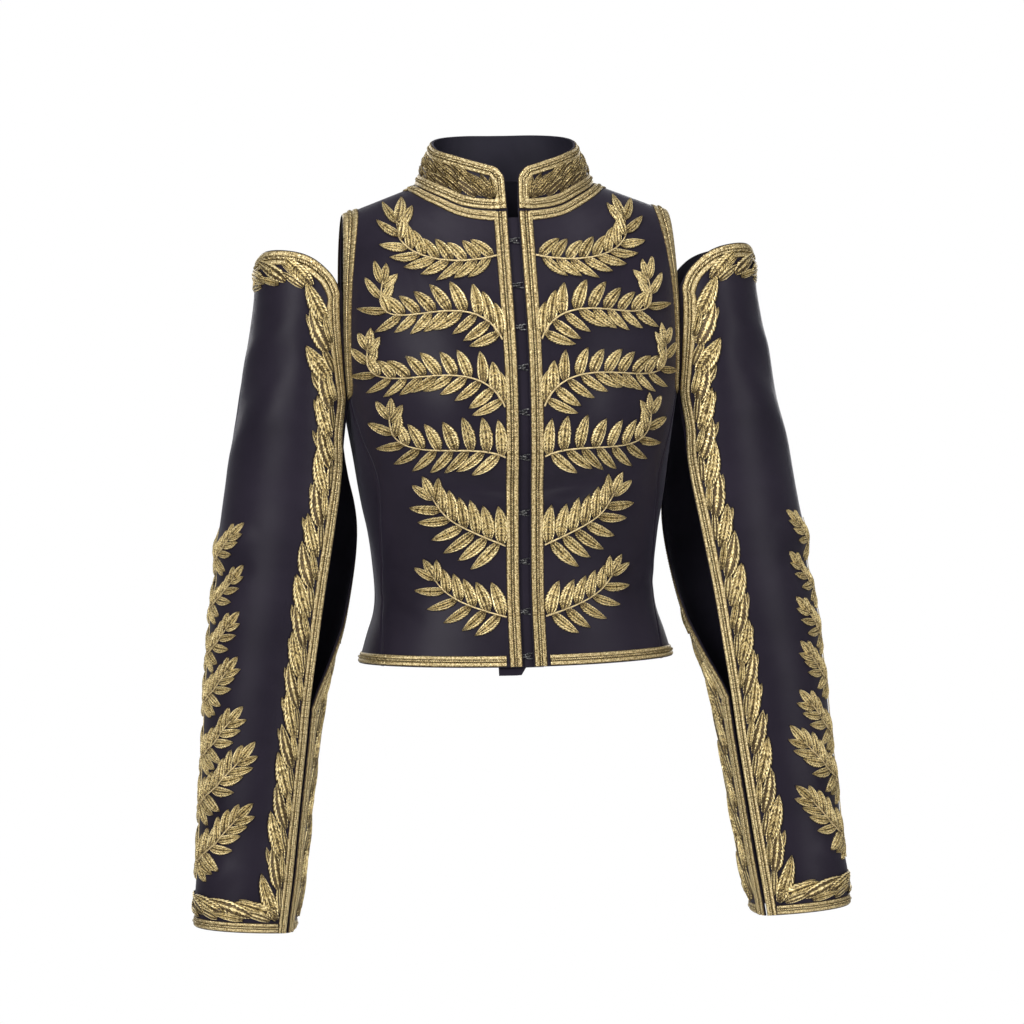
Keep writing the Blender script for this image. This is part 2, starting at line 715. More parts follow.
@dataclass(frozen=True)
class Line:
    """A plane line through places of a chart, read at lengths along it."""

    places: Points

    @property
    def lengths(self) -> Points:
        """The length reached at each place."""
        steps = np.linalg.norm(np.diff(self.places, axis=0), axis=1)
        return np.concatenate(([0], np.cumsum(steps)))

    @property
    def length(self) -> float:
        """The whole length."""
        return float(self.lengths[-1])

    def at(self, length: Points) -> Points:
        """The places at lengths along the line."""
        lengths = self.lengths
        return np.stack([np.interp(length, lengths, self.places[:, axis]) for axis in range(2)], axis=-1)

    def way(self, length: Points) -> Points:
        """The line's direction at lengths along it."""
        length = np.asarray(length, float)
        return unit(self.at(np.minimum(length + 1.5, self.length)) - self.at(np.maximum(length - 1.5, 0)))


def bezier_line(row: Row, count: int = 60) -> Line:
    """A line from the first eight numbers of a spray's row: root, two pulls, tip."""
    a, b, c, d = (np.array(row[place:place + 2]) for place in (0, 2, 4, 6))
    share = np.linspace(0, 1, count + 1)[:, None]
    rest = 1 - share
    return Line(a * rest ** 3 + b * 3 * rest * rest * share + c * 3 * rest * share ** 2 + d * share ** 3)


def deselect_all() -> None:
    """Leaves nothing selected, so that an operator acts only on what is picked next."""
    for thing in bpy.context.selected_objects:
        thing.select_set(False)


def pick(*things: Thing) -> None:
    """Selects objects alone and makes the first one active."""
    deselect_all()
    for thing in things:
        thing.select_set(True)
    bpy.context.view_layer.objects.active = things[0]


def edit(thing: Thing, *steps: Callable[[], object]) -> None:
    """Runs edit mode steps on one mesh with all of it selected."""
    pick(thing)
    bpy.ops.object.mode_set(mode="EDIT")
    bpy.ops.mesh.select_all(action="SELECT")
    for step in steps:
        step()
    bpy.ops.object.mode_set(mode="OBJECT")


def values_of(items: Sequence[object], attribute: str, width: int) -> Points:
    """One attribute of all of a mesh's points or corners, with a row for each."""
    values = np.zeros(len(items) * width)
    items.foreach_get(attribute, values)
    return values.reshape(-1, width)


def set_points(thing: Thing, points: Points) -> None:
    """Puts a mesh's points at places given in millimetres."""
    thing.data.vertices.foreach_set("co", (points * METRES_PER_MM).ravel())
    thing.data.update()


def named(thing: Thing, name: str) -> Thing:
    """Names an object and its mesh."""
    thing.name = name
    thing.data.name = name
    return thing


def shaped_grid(name: str, columns: int, rows: int, place: Place, size: Pair,
                guide: Points | None = None) -> Thing:
    """A grid primitive whose points go where a function puts them.

    Args:
        name: The object's name.
        columns, rows: Faces across and along.
        place: Gives points from the shares across and along.
        size: The real width and length, which the UV map keeps in metres.
        guide: The way out at the middle, for faces that have to follow one.

    Returns:
        The object, at the origin.
    """
    deselect_all()
    bpy.ops.mesh.primitive_grid_add(x_subdivisions=columns, y_subdivisions=rows, size=1)
    thing = named(bpy.context.object, name)
    places = values_of(thing.data.vertices, "co", 3)
    across, along = places[:, 0] + 0.5, places[:, 1] + 0.5
    corners = np.zeros(len(thing.data.loops), int)
    thing.data.loops.foreach_get("vertex_index", corners)
    places = np.stack((across[corners] * size[0], along[corners] * size[1]), axis=-1) * METRES_PER_MM
    thing.data.uv_layers.active.data.foreach_set("uv", places.ravel())
    set_points(thing, place(across, along))
    if guide is not None:
        middle = thing.data.polygons[rows // 2 * columns + columns // 2]
        if np.dot(middle.normal, guide) < 0:
            edit(thing, bpy.ops.mesh.flip_normals)
    return thing


def face_outward() -> None:
    """Turns all selected faces outward."""
    bpy.ops.mesh.normals_make_consistent(inside=False)


def closed(thing: Thing, degrees: float, *materials: Material) -> Thing:
    """Closes a strip whose first and last columns meet, fills its ends and faces it outward.

    Args:
        thing: The open strip.
        degrees: Edges sharper than this stay sharp.
        materials: Its materials in the order of its faces' indices.

    Returns:
        The same object.
    """
    edit(thing,
         lambda: bpy.ops.mesh.remove_doubles(threshold=1e-6),
         lambda: bpy.ops.mesh.fill_holes(sides=0),
         face_outward)
    for material in materials:
        thing.data.materials.append(material)
    smooth(thing, degrees)
    return thing


def apply_all(thing: Thing) -> None:
    """Applies the object's modifiers in order."""
    pick(thing)
    for modifier in list(thing.modifiers):
        bpy.ops.object.modifier_apply(modifier=modifier.name)


def repeated(template: Thing, name: str, count: int) -> Thing:
    """A new object that holds so many copies of a template's mesh, one after the other."""
    made = template.copy()
    made.data = template.data.copy()
    named(made, name)
    bpy.context.scene.collection.objects.link(made)
    array = made.modifiers.new("copies", "ARRAY")
    array.count = count
    array.use_merge_vertices = False
    apply_all(made)
    return made


def joined(name: str, things: Sequence[Thing]) -> Thing:
    """Joins objects into the first one and names it."""
    pick(*things)
    if len(things) > 1:
        bpy.ops.object.join()
    return named(bpy.context.view_layer.objects.active, name)


def set_shade(thing: Thing, values: Points) -> None:
    """Keeps one number a point, which the finishes read to vary their tone."""
    layer = thing.data.attributes.get("tone") or thing.data.attributes.new("tone", "FLOAT", "POINT")
    layer.data.foreach_set("value", np.asarray(values, float))


def smooth(thing: Thing, degrees: float = 50) -> None:
    """Shades a piece smooth, apart from edges sharper than an angle."""
    pick(thing)
    bpy.ops.object.shade_smooth_by_angle(angle=math.radians(degrees))


class NodeSheet:
    """A short way to lay out shader nodes."""

    def __init__(self, tree: Tree) -> None:
        """Keeps the tree that nodes are added to."""
        self.tree = tree

    def add(self, kind: str, inputs: dict[str | int, object] | None = None, **settings: object) -> Node:
        """Adds a node.

        Args:
            kind: The node's type.
            inputs: Values or outputs for its inputs, by name or number.
            settings: Values of its own properties.

        Returns:
            The node.
        """
        node = self.tree.nodes.new(kind)
        for name, value in settings.items():
            setattr(node, name, value)
        for name, value in (inputs or {}).items():
            self.feed(node.inputs[name], value)
        return node

    def feed(self, socket: Socket, value: object) -> None:
        """Links an output to an input, or sets the input's own value."""
        if isinstance(value, Socket):
            self.tree.links.new(value, socket)
        else:
            socket.default_value = value

    def math(self, operation: str, first: object, second: object = 0) -> Socket:
        """The output of a Math node."""
        return self.add("ShaderNodeMath", {0: first, 1: second}, operation=operation).outputs[0]

    def noise(self, place: Socket, scale: float, detail: float, roughness: float = 0.5) -> Socket:
        """The output of a Noise Texture node."""
        return self.add("ShaderNodeTexNoise", {"Vector": place, "Scale": scale, "Detail": detail,
                                               "Roughness": roughness}).outputs[0]

    def ramp(self, share: object, stops: Sequence[tuple[float, Colour]]
             ) -> Socket:
        """The output of a colour ramp with the given stops."""
        node = self.add("ShaderNodeValToRGB", {0: share})
        while len(node.color_ramp.elements) < len(stops):
            node.color_ramp.elements.new(0.5)
        for element, (place, colour) in zip(node.color_ramp.elements, stops):
            element.position = place
            element.color = (*colour, 1)
        return node.outputs[0]


def new_group(name: str, **inputs: float) -> tuple[Tree, NodeSheet, Node, Node]:
    """Starts a shader node group that gives a height and a tone for a place.

    Args:
        name: The group's name.
        inputs: Name and first value of each input beside the place.

    Returns:
        The group, its sheet, its input node and its output node.
    """
    tree = bpy.data.node_groups.new(name, "ShaderNodeTree")
    tree.interface.new_socket(name="Place", in_out="INPUT", socket_type="NodeSocketVector")
    for label, value in inputs.items():
        socket = tree.interface.new_socket(name=label, in_out="INPUT", socket_type="NodeSocketFloat")
        socket.default_value = value
    for label in ("Height", "Tone"):
        tree.interface.new_socket(name=label, in_out="OUTPUT", socket_type="NodeSocketFloat")
    sheet = NodeSheet(tree)
    return tree, sheet, sheet.add("NodeGroupInput"), sheet.add("NodeGroupOutput")


def thread_group() -> Tree:
    """Metal thread laid side by side: a height and a tone from a place in metres."""
    tree, sheet, given, made = new_group("laid_thread", Pitch=0.0008, Slant=0.9, Unevenness=0.5,
                                         Contrast=0.4)
    place = given.outputs["Place"]
    split = sheet.add("ShaderNodeSeparateXYZ", {0: place})
    slanted = sheet.math("MULTIPLY", split.outputs[0], given.outputs["Slant"])
    turns = sheet.math("DIVIDE", sheet.math("ADD", slanted, split.outputs[1]), given.outputs["Pitch"])
    pushed = sheet.math("MULTIPLY", sheet.noise(place, 420, 2, 0.6), given.outputs["Unevenness"])
    angle = sheet.math("MULTIPLY", sheet.math("ADD", turns, sheet.math("MULTIPLY", pushed, 4)), math.tau)
    wave = sheet.math("MULTIPLY_ADD", sheet.math("SINE", angle), 0.5)
    wave.node.inputs[2].default_value = 0.5
    grains = sheet.add("ShaderNodeTexVoronoi", {"Vector": place, "Scale": 1100})
    grain = sheet.math("SUBTRACT", 1, grains.outputs["Distance"])
    patches = sheet.math("SUBTRACT", sheet.noise(place, 520, 3, 0.8), 0.5)
    swing = sheet.math("MULTIPLY", sheet.math("SUBTRACT", wave, 0.5), given.outputs["Contrast"])
    flecks = sheet.math("ADD", sheet.math("MULTIPLY", patches, 2.6), 0.5)
    sheet.feed(made.inputs["Height"], sheet.math("ADD", sheet.math("MULTIPLY", wave, 0.6),
                                                 sheet.math("MULTIPLY", grain, 0.4)))
    sheet.feed(made.inputs["Tone"], sheet.math("ADD", swing, flecks))
    return tree


def weave_group() -> Tree:
    """A fine satin twill: a height and a tone from a place in metres."""
    tree, sheet, given, made = new_group("satin_weave", Pitch=0.0005)
    place = given.outputs["Place"]
    split = sheet.add("ShaderNodeSeparateXYZ", {0: place})
    run = sheet.math("ADD", split.outputs[0], sheet.math("MULTIPLY", split.outputs[1], 1.6))
    turns = sheet.math("DIVIDE", run, given.outputs["Pitch"])
    wave = sheet.math("SINE", sheet.math("MULTIPLY", turns, math.tau))
    slubs, clouds = sheet.noise(place, 900, 2, 0.6), sheet.noise(place, 14, 3, 0.55)
    sheet.feed(made.inputs["Height"], sheet.math("ADD", sheet.math("MULTIPLY", wave, 0.35), slubs))
    sheet.feed(made.inputs["Tone"], sheet.math("ADD", sheet.math("MULTIPLY", clouds, 0.8),
                                               sheet.math("MULTIPLY", slubs, 0.2)))
    return tree


def start_material(name: str) -> tuple[Material, NodeSheet, Node]:
    """A new material with its node sheet and its Principled shader."""
    made = bpy.data.materials.new(name)
    made.use_nodes = True
    return made, NodeSheet(made.node_tree), made.node_tree.nodes["Principled BSDF"]


def dress(sheet: NodeSheet, shader: Node, colour: Socket, height: Socket,
          bump: Pair, **values: object) -> None:
    """Gives a shader its colour, its bump and its plain values.

    Args:
        sheet, shader: The material's sheet and its Principled shader.
        colour, height: The outputs that give the base colour and the height.
        bump: The bump's strength and its depth in metres.
        values: Values of other inputs, with "_" for each space in their names.
    """
    strength, depth = bump
    raised = sheet.add("ShaderNodeBump", {"Height": height, "Strength": strength, "Distance": depth})
    sheet.feed(shader.inputs["Base Color"], colour)
    sheet.feed(shader.inputs["Normal"], raised.outputs[0])
    for name, value in values.items():
        shader.inputs[name.replace("_", " ")].default_value = value


@dataclass(frozen=True)
class ClothFinish:
    """Dark satin, seen a little lighter where it turns away."""

    name: str
    low: Colour
    high: Colour
    roughness: float
    sheen: float

    def build(self, weave: Tree) -> Material:
        """Makes the material with the shared weave."""
        made, sheet, shader = start_material(self.name)
        place = sheet.add("ShaderNodeUVMap", uv_map="UVMap").outputs[0]
        cloth = sheet.add("ShaderNodeGroup", node_tree=weave)
        sheet.feed(cloth.inputs["Place"], place)
        colour = sheet.ramp(cloth.outputs["Tone"], ((0.3, self.low), (0.75, self.high)))
        dress(sheet, shader, colour, cloth.outputs["Height"], (0.12, 0.0002), Roughness=self.roughness,
              Sheen_Weight=self.sheen, Sheen_Roughness=0.4, Sheen_Tint=(0.75, 0.75, 0.9, 1),
              Specular_IOR_Level=0.08)
        return made


@dataclass(frozen=True)
class ThreadFinish:
    """Gold metal thread, laid at a slant, from its dark gaps to its bright crests."""

    name: str
    dark: Colour
    middle: Colour
    light: Colour
    pitch: float
    slant: float
    unevenness: float
    contrast: float
    roughness: float
    metallic: float
    depth: float

    def build(self, thread: Tree) -> Material:
        """Makes the material with the shared thread."""
        made, sheet, shader = start_material(self.name)
        place = sheet.add("ShaderNodeUVMap", uv_map="UVMap").outputs[0]
        laid = sheet.add("ShaderNodeGroup", node_tree=thread)
        for name, value in (("Place", place), ("Pitch", self.pitch), ("Slant", self.slant),
                            ("Unevenness", self.unevenness), ("Contrast", self.contrast)):
            sheet.feed(laid.inputs[name], value)
        tone = sheet.add("ShaderNodeAttribute", attribute_name="tone").outputs["Fac"]
        shade = sheet.math("ADD", laid.outputs["Tone"], tone)
        colour = sheet.ramp(shade, ((0.16, self.dark), (0.48, self.middle), (0.84, self.light)))
        dress(sheet, shader, colour, laid.outputs["Height"], (0.85, self.depth), Roughness=self.roughness,
              Metallic=self.metallic)
        return made


@dataclass(frozen=True)
class WireFinish:
    """Black lacquered wire with a little wear."""

    name: str
    colour: Colour
    worn: Colour

    def build(self) -> Material:
        """Makes the material."""
        made, sheet, shader = start_material(self.name)
        wear = sheet.noise(sheet.add("ShaderNodeTexCoord").outputs["Object"], 900, 3)
        colour = sheet.ramp(wear, ((0.5, self.colour), (0.72, self.worn)))
        dress(sheet, shader, colour, wear, (0.2, 0.0001), Roughness=0.3, Metallic=0.9)
        return made


@dataclass(frozen=True)
class Finishes:
    """All the jacket's materials."""

    satin: Material
    lining: Material
    band: Material
    twist: Material
    leaf: Material
    rim: Material
    stem: Material
    wire: Material


DARK_GOLD = (0.055, 0.034, 0.012)
MIDDLE_GOLD = (0.3, 0.212, 0.078)
LIGHT_GOLD = (0.72, 0.6, 0.34)
LEAF_GOLD = (0.5, 0.37, 0.138)
RIM_GOLD = (0.56, 0.42, 0.165)
PALE_GOLD = (0.8, 0.67, 0.37)


def build_finishes() -> Finishes:
    """Makes every material once."""
    weave, thread = weave_group(), thread_group()
    return Finishes(
        satin=ClothFinish("aubergine_satin", (0.0085, 0.0066, 0.0118), (0.0168, 0.0132, 0.0218), 0.4, 0.12
                          ).build(weave),
        lining=ClothFinish("dark_lining", (0.012, 0.011, 0.017), (0.024, 0.022, 0.032), 0.5, 0.04
                           ).build(weave),
        band=ThreadFinish("gold_band", DARK_GOLD, MIDDLE_GOLD, LIGHT_GOLD, 0.0014, 0.5, 0.25, 0.4, 0.36,
                          0.65, 0.0004).build(thread),
        twist=ThreadFinish("gold_twist", DARK_GOLD, MIDDLE_GOLD, LIGHT_GOLD, 0.0018, 1, 0.1, 0.7, 0.3,
                           0.7, 0.0004).build(thread),
        leaf=ThreadFinish("gold_leaf", DARK_GOLD, LEAF_GOLD, PALE_GOLD, 0.0016, 0.9, 0.5, 0.4, 0.36, 0.5,
                          0.0005).build(thread),
        rim=ThreadFinish("gold_rim", DARK_GOLD, RIM_GOLD, PALE_GOLD, 0.002, 1, 0.15, 0.7, 0.36, 0.5,
                         0.0005).build(thread),
        stem=ThreadFinish("pale_cord", (0.3, 0.21, 0.09), (0.6, 0.46, 0.24), PALE_GOLD, 0.0014, 1, 0.1,
                          0.5, 0.4, 0.5, 0.0003).build(thread),
        wire=WireFinish("black_wire", (0.035, 0.035, 0.038), (0.5, 0.49, 0.47)).build(),
    )


def finish_piece(piece: Thing, slot: Slot, node: str) -> None:
    """Gives a piece its body, its slot in the record and the CAD node that it stands for."""
    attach(piece, "root")
    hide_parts(node)
    piece.data.calc_loop_triangles()
    log.info("%s: %d triangles, stands for %s", piece.name, len(piece.data.loop_triangles), node)


def denser_ends(share: Points, strength: float = 0.72) -> Points:
    """Moves even shares nearer to both ends."""
    return share - strength * np.sin(math.tau * share) / math.tau


@dataclass(frozen=True)
class Cut:
    """A cloth piece's flat cut in metres, with its area."""

    width: float
    length: float
    area: float


@dataclass
class ClothWork:
    """The panels of cloth: body, sleeves, collar and underlap."""

    finishes: Finishes
    thickness: float = CLOTH
    seam_dip: float = 1.1
    seam_reach: float = 1.8
    seam_lap: float = 0.6
    step: float = 3
    collar_sunk: float = 0.06
    strip_thickness: float = 1.2
    strip_left: float = 14
    strip_right: float = -27
    strip_behind: float = 2.9
    strip_below_hem: float = 7
    strip_below_neck: float = 4
    strip_top: float = 1.985

    def walled(self, sheet: Thing, thickness: float, is_even: bool = False, is_lined: bool = True) -> Thing:
        """Gives a sheet of satin its thickness, inward, and its lining."""
        wall = sheet.modifiers.new("wall", "SOLIDIFY")
        wall.thickness = thickness * METRES_PER_MM
        wall.offset = -1
        wall.use_even_offset = is_even
        wall.material_offset = int(is_lined)
        for material in (self.finishes.satin, self.finishes.lining)[:1 + is_lined]:
            sheet.data.materials.append(material)
        apply_all(sheet)
        smooth(sheet)
        return sheet

    def shell(self, name: str, surface: Surface, s_range: Pair,
              v_range: Pair, size: Pair, seams: str) -> Thing:
        """A panel of folded cloth with its thickness, seams rolled in and its lining inside.

        Args:
            name: The piece's name.
            surface: The surface that it follows.
            s_range, v_range: First and last share across and along.
            size: Rough width and length.
            seams: Which sides are sewn, of "l", "r" and "t" for first column, last column and last row.

        Returns:
            The object.
        """
        (s_low, s_high), (v_low, v_high) = s_range, v_range

        def place(across: Points, along: Points) -> Points:
            even = denser_ends(across)
            s, v = s_low + (s_high - s_low) * even, v_low + (v_high - v_low) * along
            point, normal = surface.dressed(s, v)
            lap = (across > 0.999) * float("r" in seams) - (across < 0.001) * float("l" in seams)
            point = point + unit(surface.slopes(s, v)[0]) * (self.seam_lap * lap)[..., None]
            dip = np.zeros(len(across))
            for letter, share, length in (("l", even, size[0]), ("r", 1 - even, size[0]),
                                          ("t", 1 - along, size[1])):
                if letter in seams:
                    dip += hump(share * length, self.seam_reach)
            return point - normal * (self.seam_dip * np.minimum(dip, 1))[..., None]

        guide = surface.normal(np.array((s_low + s_high) / 2), np.array((v_low + v_high) / 2))
        columns, rows = max(int(size[0] / self.step), 8), int(size[1] / self.step)
        return self.walled(shaped_grid(name, columns, rows, place, size, guide), self.thickness, True)

    def declare(self, panel: Thing, node: str, cut: Cut) -> None:
        """Finishes a panel and states its cut."""
        finish_piece(panel, Slot.CLOTH, node)
        cut.length

    def build_body(self) -> None:
        """The eight panels of the body."""
        cuts = {"front": Cut(0.19, 0.47, 0.0655), "back": Cut(0.18, 0.49, 0.062),
                "side_front": Cut(0.09, 0.27, 0.0145), "side_back": Cut(0.11, 0.27, 0.0175)}
        for side in Wearer:
            for is_front, word in ((True, "front"), (False, "back")):
                name = f"{word}_{side.word}"
                main = self.shell(f"cloth_{name}", MainPanel(side, is_front), (0, 1), (0, 2),
                                  (165, 440), "rt" if is_front else "lrt")
                self.declare(main, name, cuts[word])
                panel = self.shell(f"cloth_side_{name}", SidePanel(side, is_front), (0, 1), (0, 1),
                                   (70, 255), "lr")
                self.declare(panel, f"side_{name}", cuts[f"side_{word}"])

    def build_sleeves(self) -> None:
        """Each sleeve as a front and a back half."""
        for side in Wearer:
            surface = SleeveTube(side)
            for word, s_range, seams in (("front", (0, 0.5), "r"), ("back", (0.5, 1), "l")):
                name = f"sleeve_{word}_{side.word}"
                half = self.shell(f"cloth_{name}", surface, s_range, (0, 1), (150, 620), seams)
                self.declare(half, name, Cut(0.17, 0.63, 0.0835))

    def build_collar(self) -> None:
        """The standing collar as one band with its lining."""
        half = CollarHalf(Wearer.LEFT)

        def place(across: Points, along: Points) -> Points:
            low = self.collar_sunk
            points = half.point(1 - np.abs(2 * across - 1), (1 + low) * along - low)
            points[:, 0] *= np.where(across < 0.5, 1, -1)
            return points

        band = shaped_grid("cloth_collar", 120, 10, place, (2 * COLLAR_HALF_LENGTH, COLLAR_HEIGHT),
                           np.array((0, 1, 0)))
        self.declare(self.walled(band, self.thickness), "collar", Cut(0.47, 0.062, 0.0186))

    def build_underlap(self) -> None:
        """The strip behind the centre front opening."""
        front = MainPanel(Wearer.LEFT, True)

        def place(across: Points, along: Points) -> Points:
            x = self.strip_right + (self.strip_left - self.strip_right) * across
            v = along * self.strip_top
            base = front.point(np.zeros(len(v)), v)
            z = base[:, 2] - self.strip_below_neck * smooth_step((along - 0.9) * 10)
            s, found = front.found(np.full(len(v), 0.05), v, np.maximum(np.abs(x), FRONT_EDGE_X), z)
            point = front.point(s, found) - front.normal(s, found) * self.strip_behind
            point[:, 0] = x
            point[:, 2] -= (self.strip_below_hem * smooth_step(1 - along * 12)
                            * smooth_step((-3 - x) / 4))
            return point

        strip = shaped_grid("cloth_underlap", 10, 110, place, (38, 430), np.array((0, -1, 0)))
        self.walled(strip, self.strip_thickness, is_lined=False)
        self.declare(strip, "underlap", Cut(0.038, 0.44, 0.0163))

    def build(self) -> None:
        """Makes all the cloth."""
        self.build_body()
        self.build_sleeves()
        self.build_collar()
        self.build_underlap()


Stretch = tuple[Surface, Points | float, Points | float]
Guide = Callable[[Surface, Points], Points]
Size = Callable[[Points], Points] | float


@dataclass(frozen=True)
class Strand:
    """One cord of a braid: where it starts and ends across the braid, its height, and how it's made."""

    start: float
    end: float
    height: float
    is_twist: bool = False


EDGE_STRANDS = (Strand(0, 0.41, 1.9), Strand(0.41, 0.59, 2.2, True), Strand(0.59, 1, 1.8))
FRONT_STRANDS = (Strand(0, 0.44, 2), Strand(0.44, 0.6, 2.3, True), Strand(0.6, 1, 1.9))


@dataclass
class Rails:
    """A braid's near and far sides and the normals along both, read at lengths of its middle line."""

    sides: Sequence[Points]

    def __post_init__(self) -> None:
        """Measures the middle line."""
        middle = (self.sides[0] + self.sides[1]) / 2
        steps = np.linalg.norm(np.diff(middle, axis=0), axis=1)
        self.lengths = np.concatenate(([0], np.cumsum(steps)))

    @property
    def length(self) -> float:
        """The braid's length."""
        return float(self.lengths[-1])

    def at(self, along: Points, across: Points, height: Points) -> Points:
        """Points at lengths along, shares across and heights above the cloth."""
        near, far, low, high = (
            np.stack([np.interp(along, self.lengths, side[:, axis]) for axis in range(3)], axis=-1)
            for side in self.sides)
        share = across[..., None]
        return near + (far - near) * share + unit(low + (high - low) * share) * height[..., None]


@dataclass
class BraidWork:
    """The gold braids: laid bands with a twisted cord between them."""

    finishes: Finishes
    width: float = 10
    front_width: float = 12.5
    armhole_width: float = 16
    armhole_inset: float = -1.5
    armhole_round: float = 11
    armhole_round_z: float = -168
    armhole_end: float = 0.97
    opening_width: float = 10.5
    opening_wider: float = 3
    opening_wide_z: float = -170
    opening_wide_reach: float = 60
    guide_z: float = -122
    front_top: float = 1.985
    collar_width: float = 10
    cuff_width: float = 8.5
    band_step: float = 3
    band_power: float = 0.6
    twist_step: float = 0.62
    twist_pitch: float = 2.6
    twist_swell: float = 0.26
    twist_wider: float = 1.1
    sink: float = 0.4

    BAND_TONE = np.array((-0.6, -0.45, -0.02, 0.12, 0.08, 0.12, -0.02, -0.45, -0.6, -0.6))

    def rails(self, route: Sequence[Stretch], width: Size, toward: Guide, inset: Size = EDGE_INSET,
              soften: int = 3) -> Rails:
        """The sides of a braid beside a route over one or more surfaces.

        Args:
            route: The route's stretches.
            width: The braid's width, plain or by height.
            toward: Gives directions to the side on which the braid lies.
            inset: The distance from the route to the near side, plain or by height.
            soften: How many times the route's turns are softened.

        Returns:
            The rails.
        """
        pieces = [(surface, *np.broadcast_arrays(np.asarray(s, float), np.asarray(v, float)))
                  for surface, s, v in route]
        middles = np.concatenate([surface.point(s, v) for surface, s, v in pieces])
        normals = np.concatenate([surface.normal(s, v) for surface, s, v in pieces])
        guides = np.concatenate([toward(surface, surface.point(s, v)) for surface, s, v in pieces])
        ahead = np.gradient(middles, axis=0)
        across = unit(np.cross(normals, unit(ahead)))
        across *= np.where((across * guides).sum(-1, keepdims=True) < 0, -1, 1)
        for _ in range(soften):
            padded = np.concatenate((across[:1], across, across[-1:]))
            across = unit(padded[:-2] + padded[1:-1] * 2 + padded[2:])
        offsets = inset(middles[:, 2]) if callable(inset) else np.full(len(middles), inset)
        widths = width(middles[:, 2]) if callable(width) else np.full(len(middles), width)
        sides: list[list[Points]] = [[], [], [], []]
        place = 0
        for surface, s, v in pieces:
            run = slice(place, place + len(s))
            place += len(s)
            for rail, reach in enumerate((offsets[run], (offsets + widths)[run])):
                shift = across[run] * np.maximum(reach, 0)[..., None]
                point, normal = surface.dressed(*surface.moved(s, v, shift))
                sides[rail].append(point + across[run] * np.minimum(reach, 0)[..., None])
                sides[rail + 2].append(normal)
        return Rails([np.concatenate(side) for side in sides])

    def band(self, rails: Rails, strand: Strand) -> Thing:
        """A laid band, flat below and round above, along a strand's place in the braid."""
        columns = len(self.BAND_TONE) - 1
        share_wide = strand.end - strand.start

        def place(across: Points, along: Points) -> Points:
            angle = np.pi * np.clip(across * columns / (columns - 1), 0, 1)
            is_top = across * columns <= columns - 1 + 1e-6
            share = np.where(is_top, (1 - np.cos(angle)) / 2, 0)
            rise = np.where(is_top, np.sin(angle) ** self.band_power * strand.height, 0)
            return rails.at(rails.length * along, strand.start + share_wide * share, rise - self.sink)

        rows = max(int(rails.length / self.band_step), 4)
        width = share_wide * np.linalg.norm(rails.sides[1][0] - rails.sides[0][0])
        made = shaped_grid("band", columns, rows, place, (width * 1.6, rails.length))
        set_shade(made, self.BAND_TONE[np.arange(len(made.data.vertices)) % (columns + 1)])
        return closed(made, 60, self.finishes.band)

    def twist(self, rails: Rails, strand: Strand) -> Thing:
        """A twisted cord that swells and narrows along its length."""
        middle = (strand.start + strand.end) / 2
        half = (strand.end - strand.start) / 2

        def place(across: Points, along: Points) -> Points:
            angle = math.tau * across
            length = rails.length * along
            phase = math.tau * length / self.twist_pitch + angle
            swell = 1 + self.twist_swell * np.sin(phase)
            return rails.at(length, middle - half * np.cos(angle) * swell * self.twist_wider,
                            strand.height * (0.55 + 0.5 * np.sin(angle) * swell))

        rows = max(int(rails.length / self.twist_step), 8)
        made = shaped_grid("twist", 6, rows, place, (4, rails.length))
        return closed(made, 75, self.finishes.twist)

    def lay(self, node: str, *routes: Rails, strands: Sequence[Strand] = EDGE_STRANDS,
            shade: float = 0) -> None:
        """Makes one braid's cords and finishes them as one piece.

        Args:
            node: The CAD node that the braid stands for.
            routes: The rails of each of its runs.
            strands: Its cords, from side to side.
            shade: How much lighter than usual it is.
        """
        parts = [(self.twist if strand.is_twist else self.band)(rails, strand)
                 for rails in routes for strand in strands]
        piece = joined(f"braid_{node}", parts)
        set_shade(piece, values_of(piece.data.attributes["tone"].data, "value", 1)[:, 0] + shade)
        finish_piece(piece, Slot.BRAID, node)

    def build_body(self) -> None:
        """Braids on the centre front, the armholes, the hem and the neck seam."""
        fronts, backs, side_fronts, side_backs = (
            {side: kind(side, is_front) for side in Wearer}
            for kind in (MainPanel, SidePanel) for is_front in (True, False))
        v = np.linspace(0, self.front_top, 160)
        rise = np.linspace(1.02, 1.99, 80)
        turn = np.linspace(0.1, 0.02, 4)

        def armhole_width(z: Points) -> Points:
            low = np.clip((self.armhole_round_z - z) / self.armhole_round, 0, 1)
            return self.armhole_width * np.sqrt(1 - low * low * self.armhole_end)

        for side in Wearer:
            rails = self.rails(((fronts[side], 0, v),), self.front_width, pointing(1, 0))
            self.lay(f"front_braid_{side.word}", rails, strands=FRONT_STRANDS, shade=-0.1)
            route = ((side_fronts[side], turn, 1), (fronts[side], 1, rise),
                     (backs[side], 1, rise[::-1]), (side_backs[side], turn[::-1], 1))
            self.lay(f"armhole_braid_{side.word}",
                     self.rails(route, armhole_width, pointing(-1, -0.6), self.armhole_inset))

        def hem_half(side: Wearer) -> list[Stretch]:
            return [(fronts[side], np.linspace(0.1, 0.99, 60), 0),
                    (side_fronts[side], np.linspace(0.01, 0.99, 24), 0),
                    (side_backs[side], np.linspace(0.99, 0.01, 30), 0),
                    (backs[side], np.linspace(0.99, 0.01, 60), 0)]

        def neck_half(side: Wearer) -> list[Stretch]:
            first = NECK_COLUMN * math.degrees(math.asin(11 / NECK_HALF_WIDTH)) / 90
            return [(fronts[side], np.linspace(first, 0.447, 50), 2),
                    (backs[side], np.linspace(0.447, 0.003, 50), 2)]

        def away_from_neck(surface: Surface, point: Points) -> Points:
            return point * np.array((1, 1, 0)) - np.array((0, 0, 80))

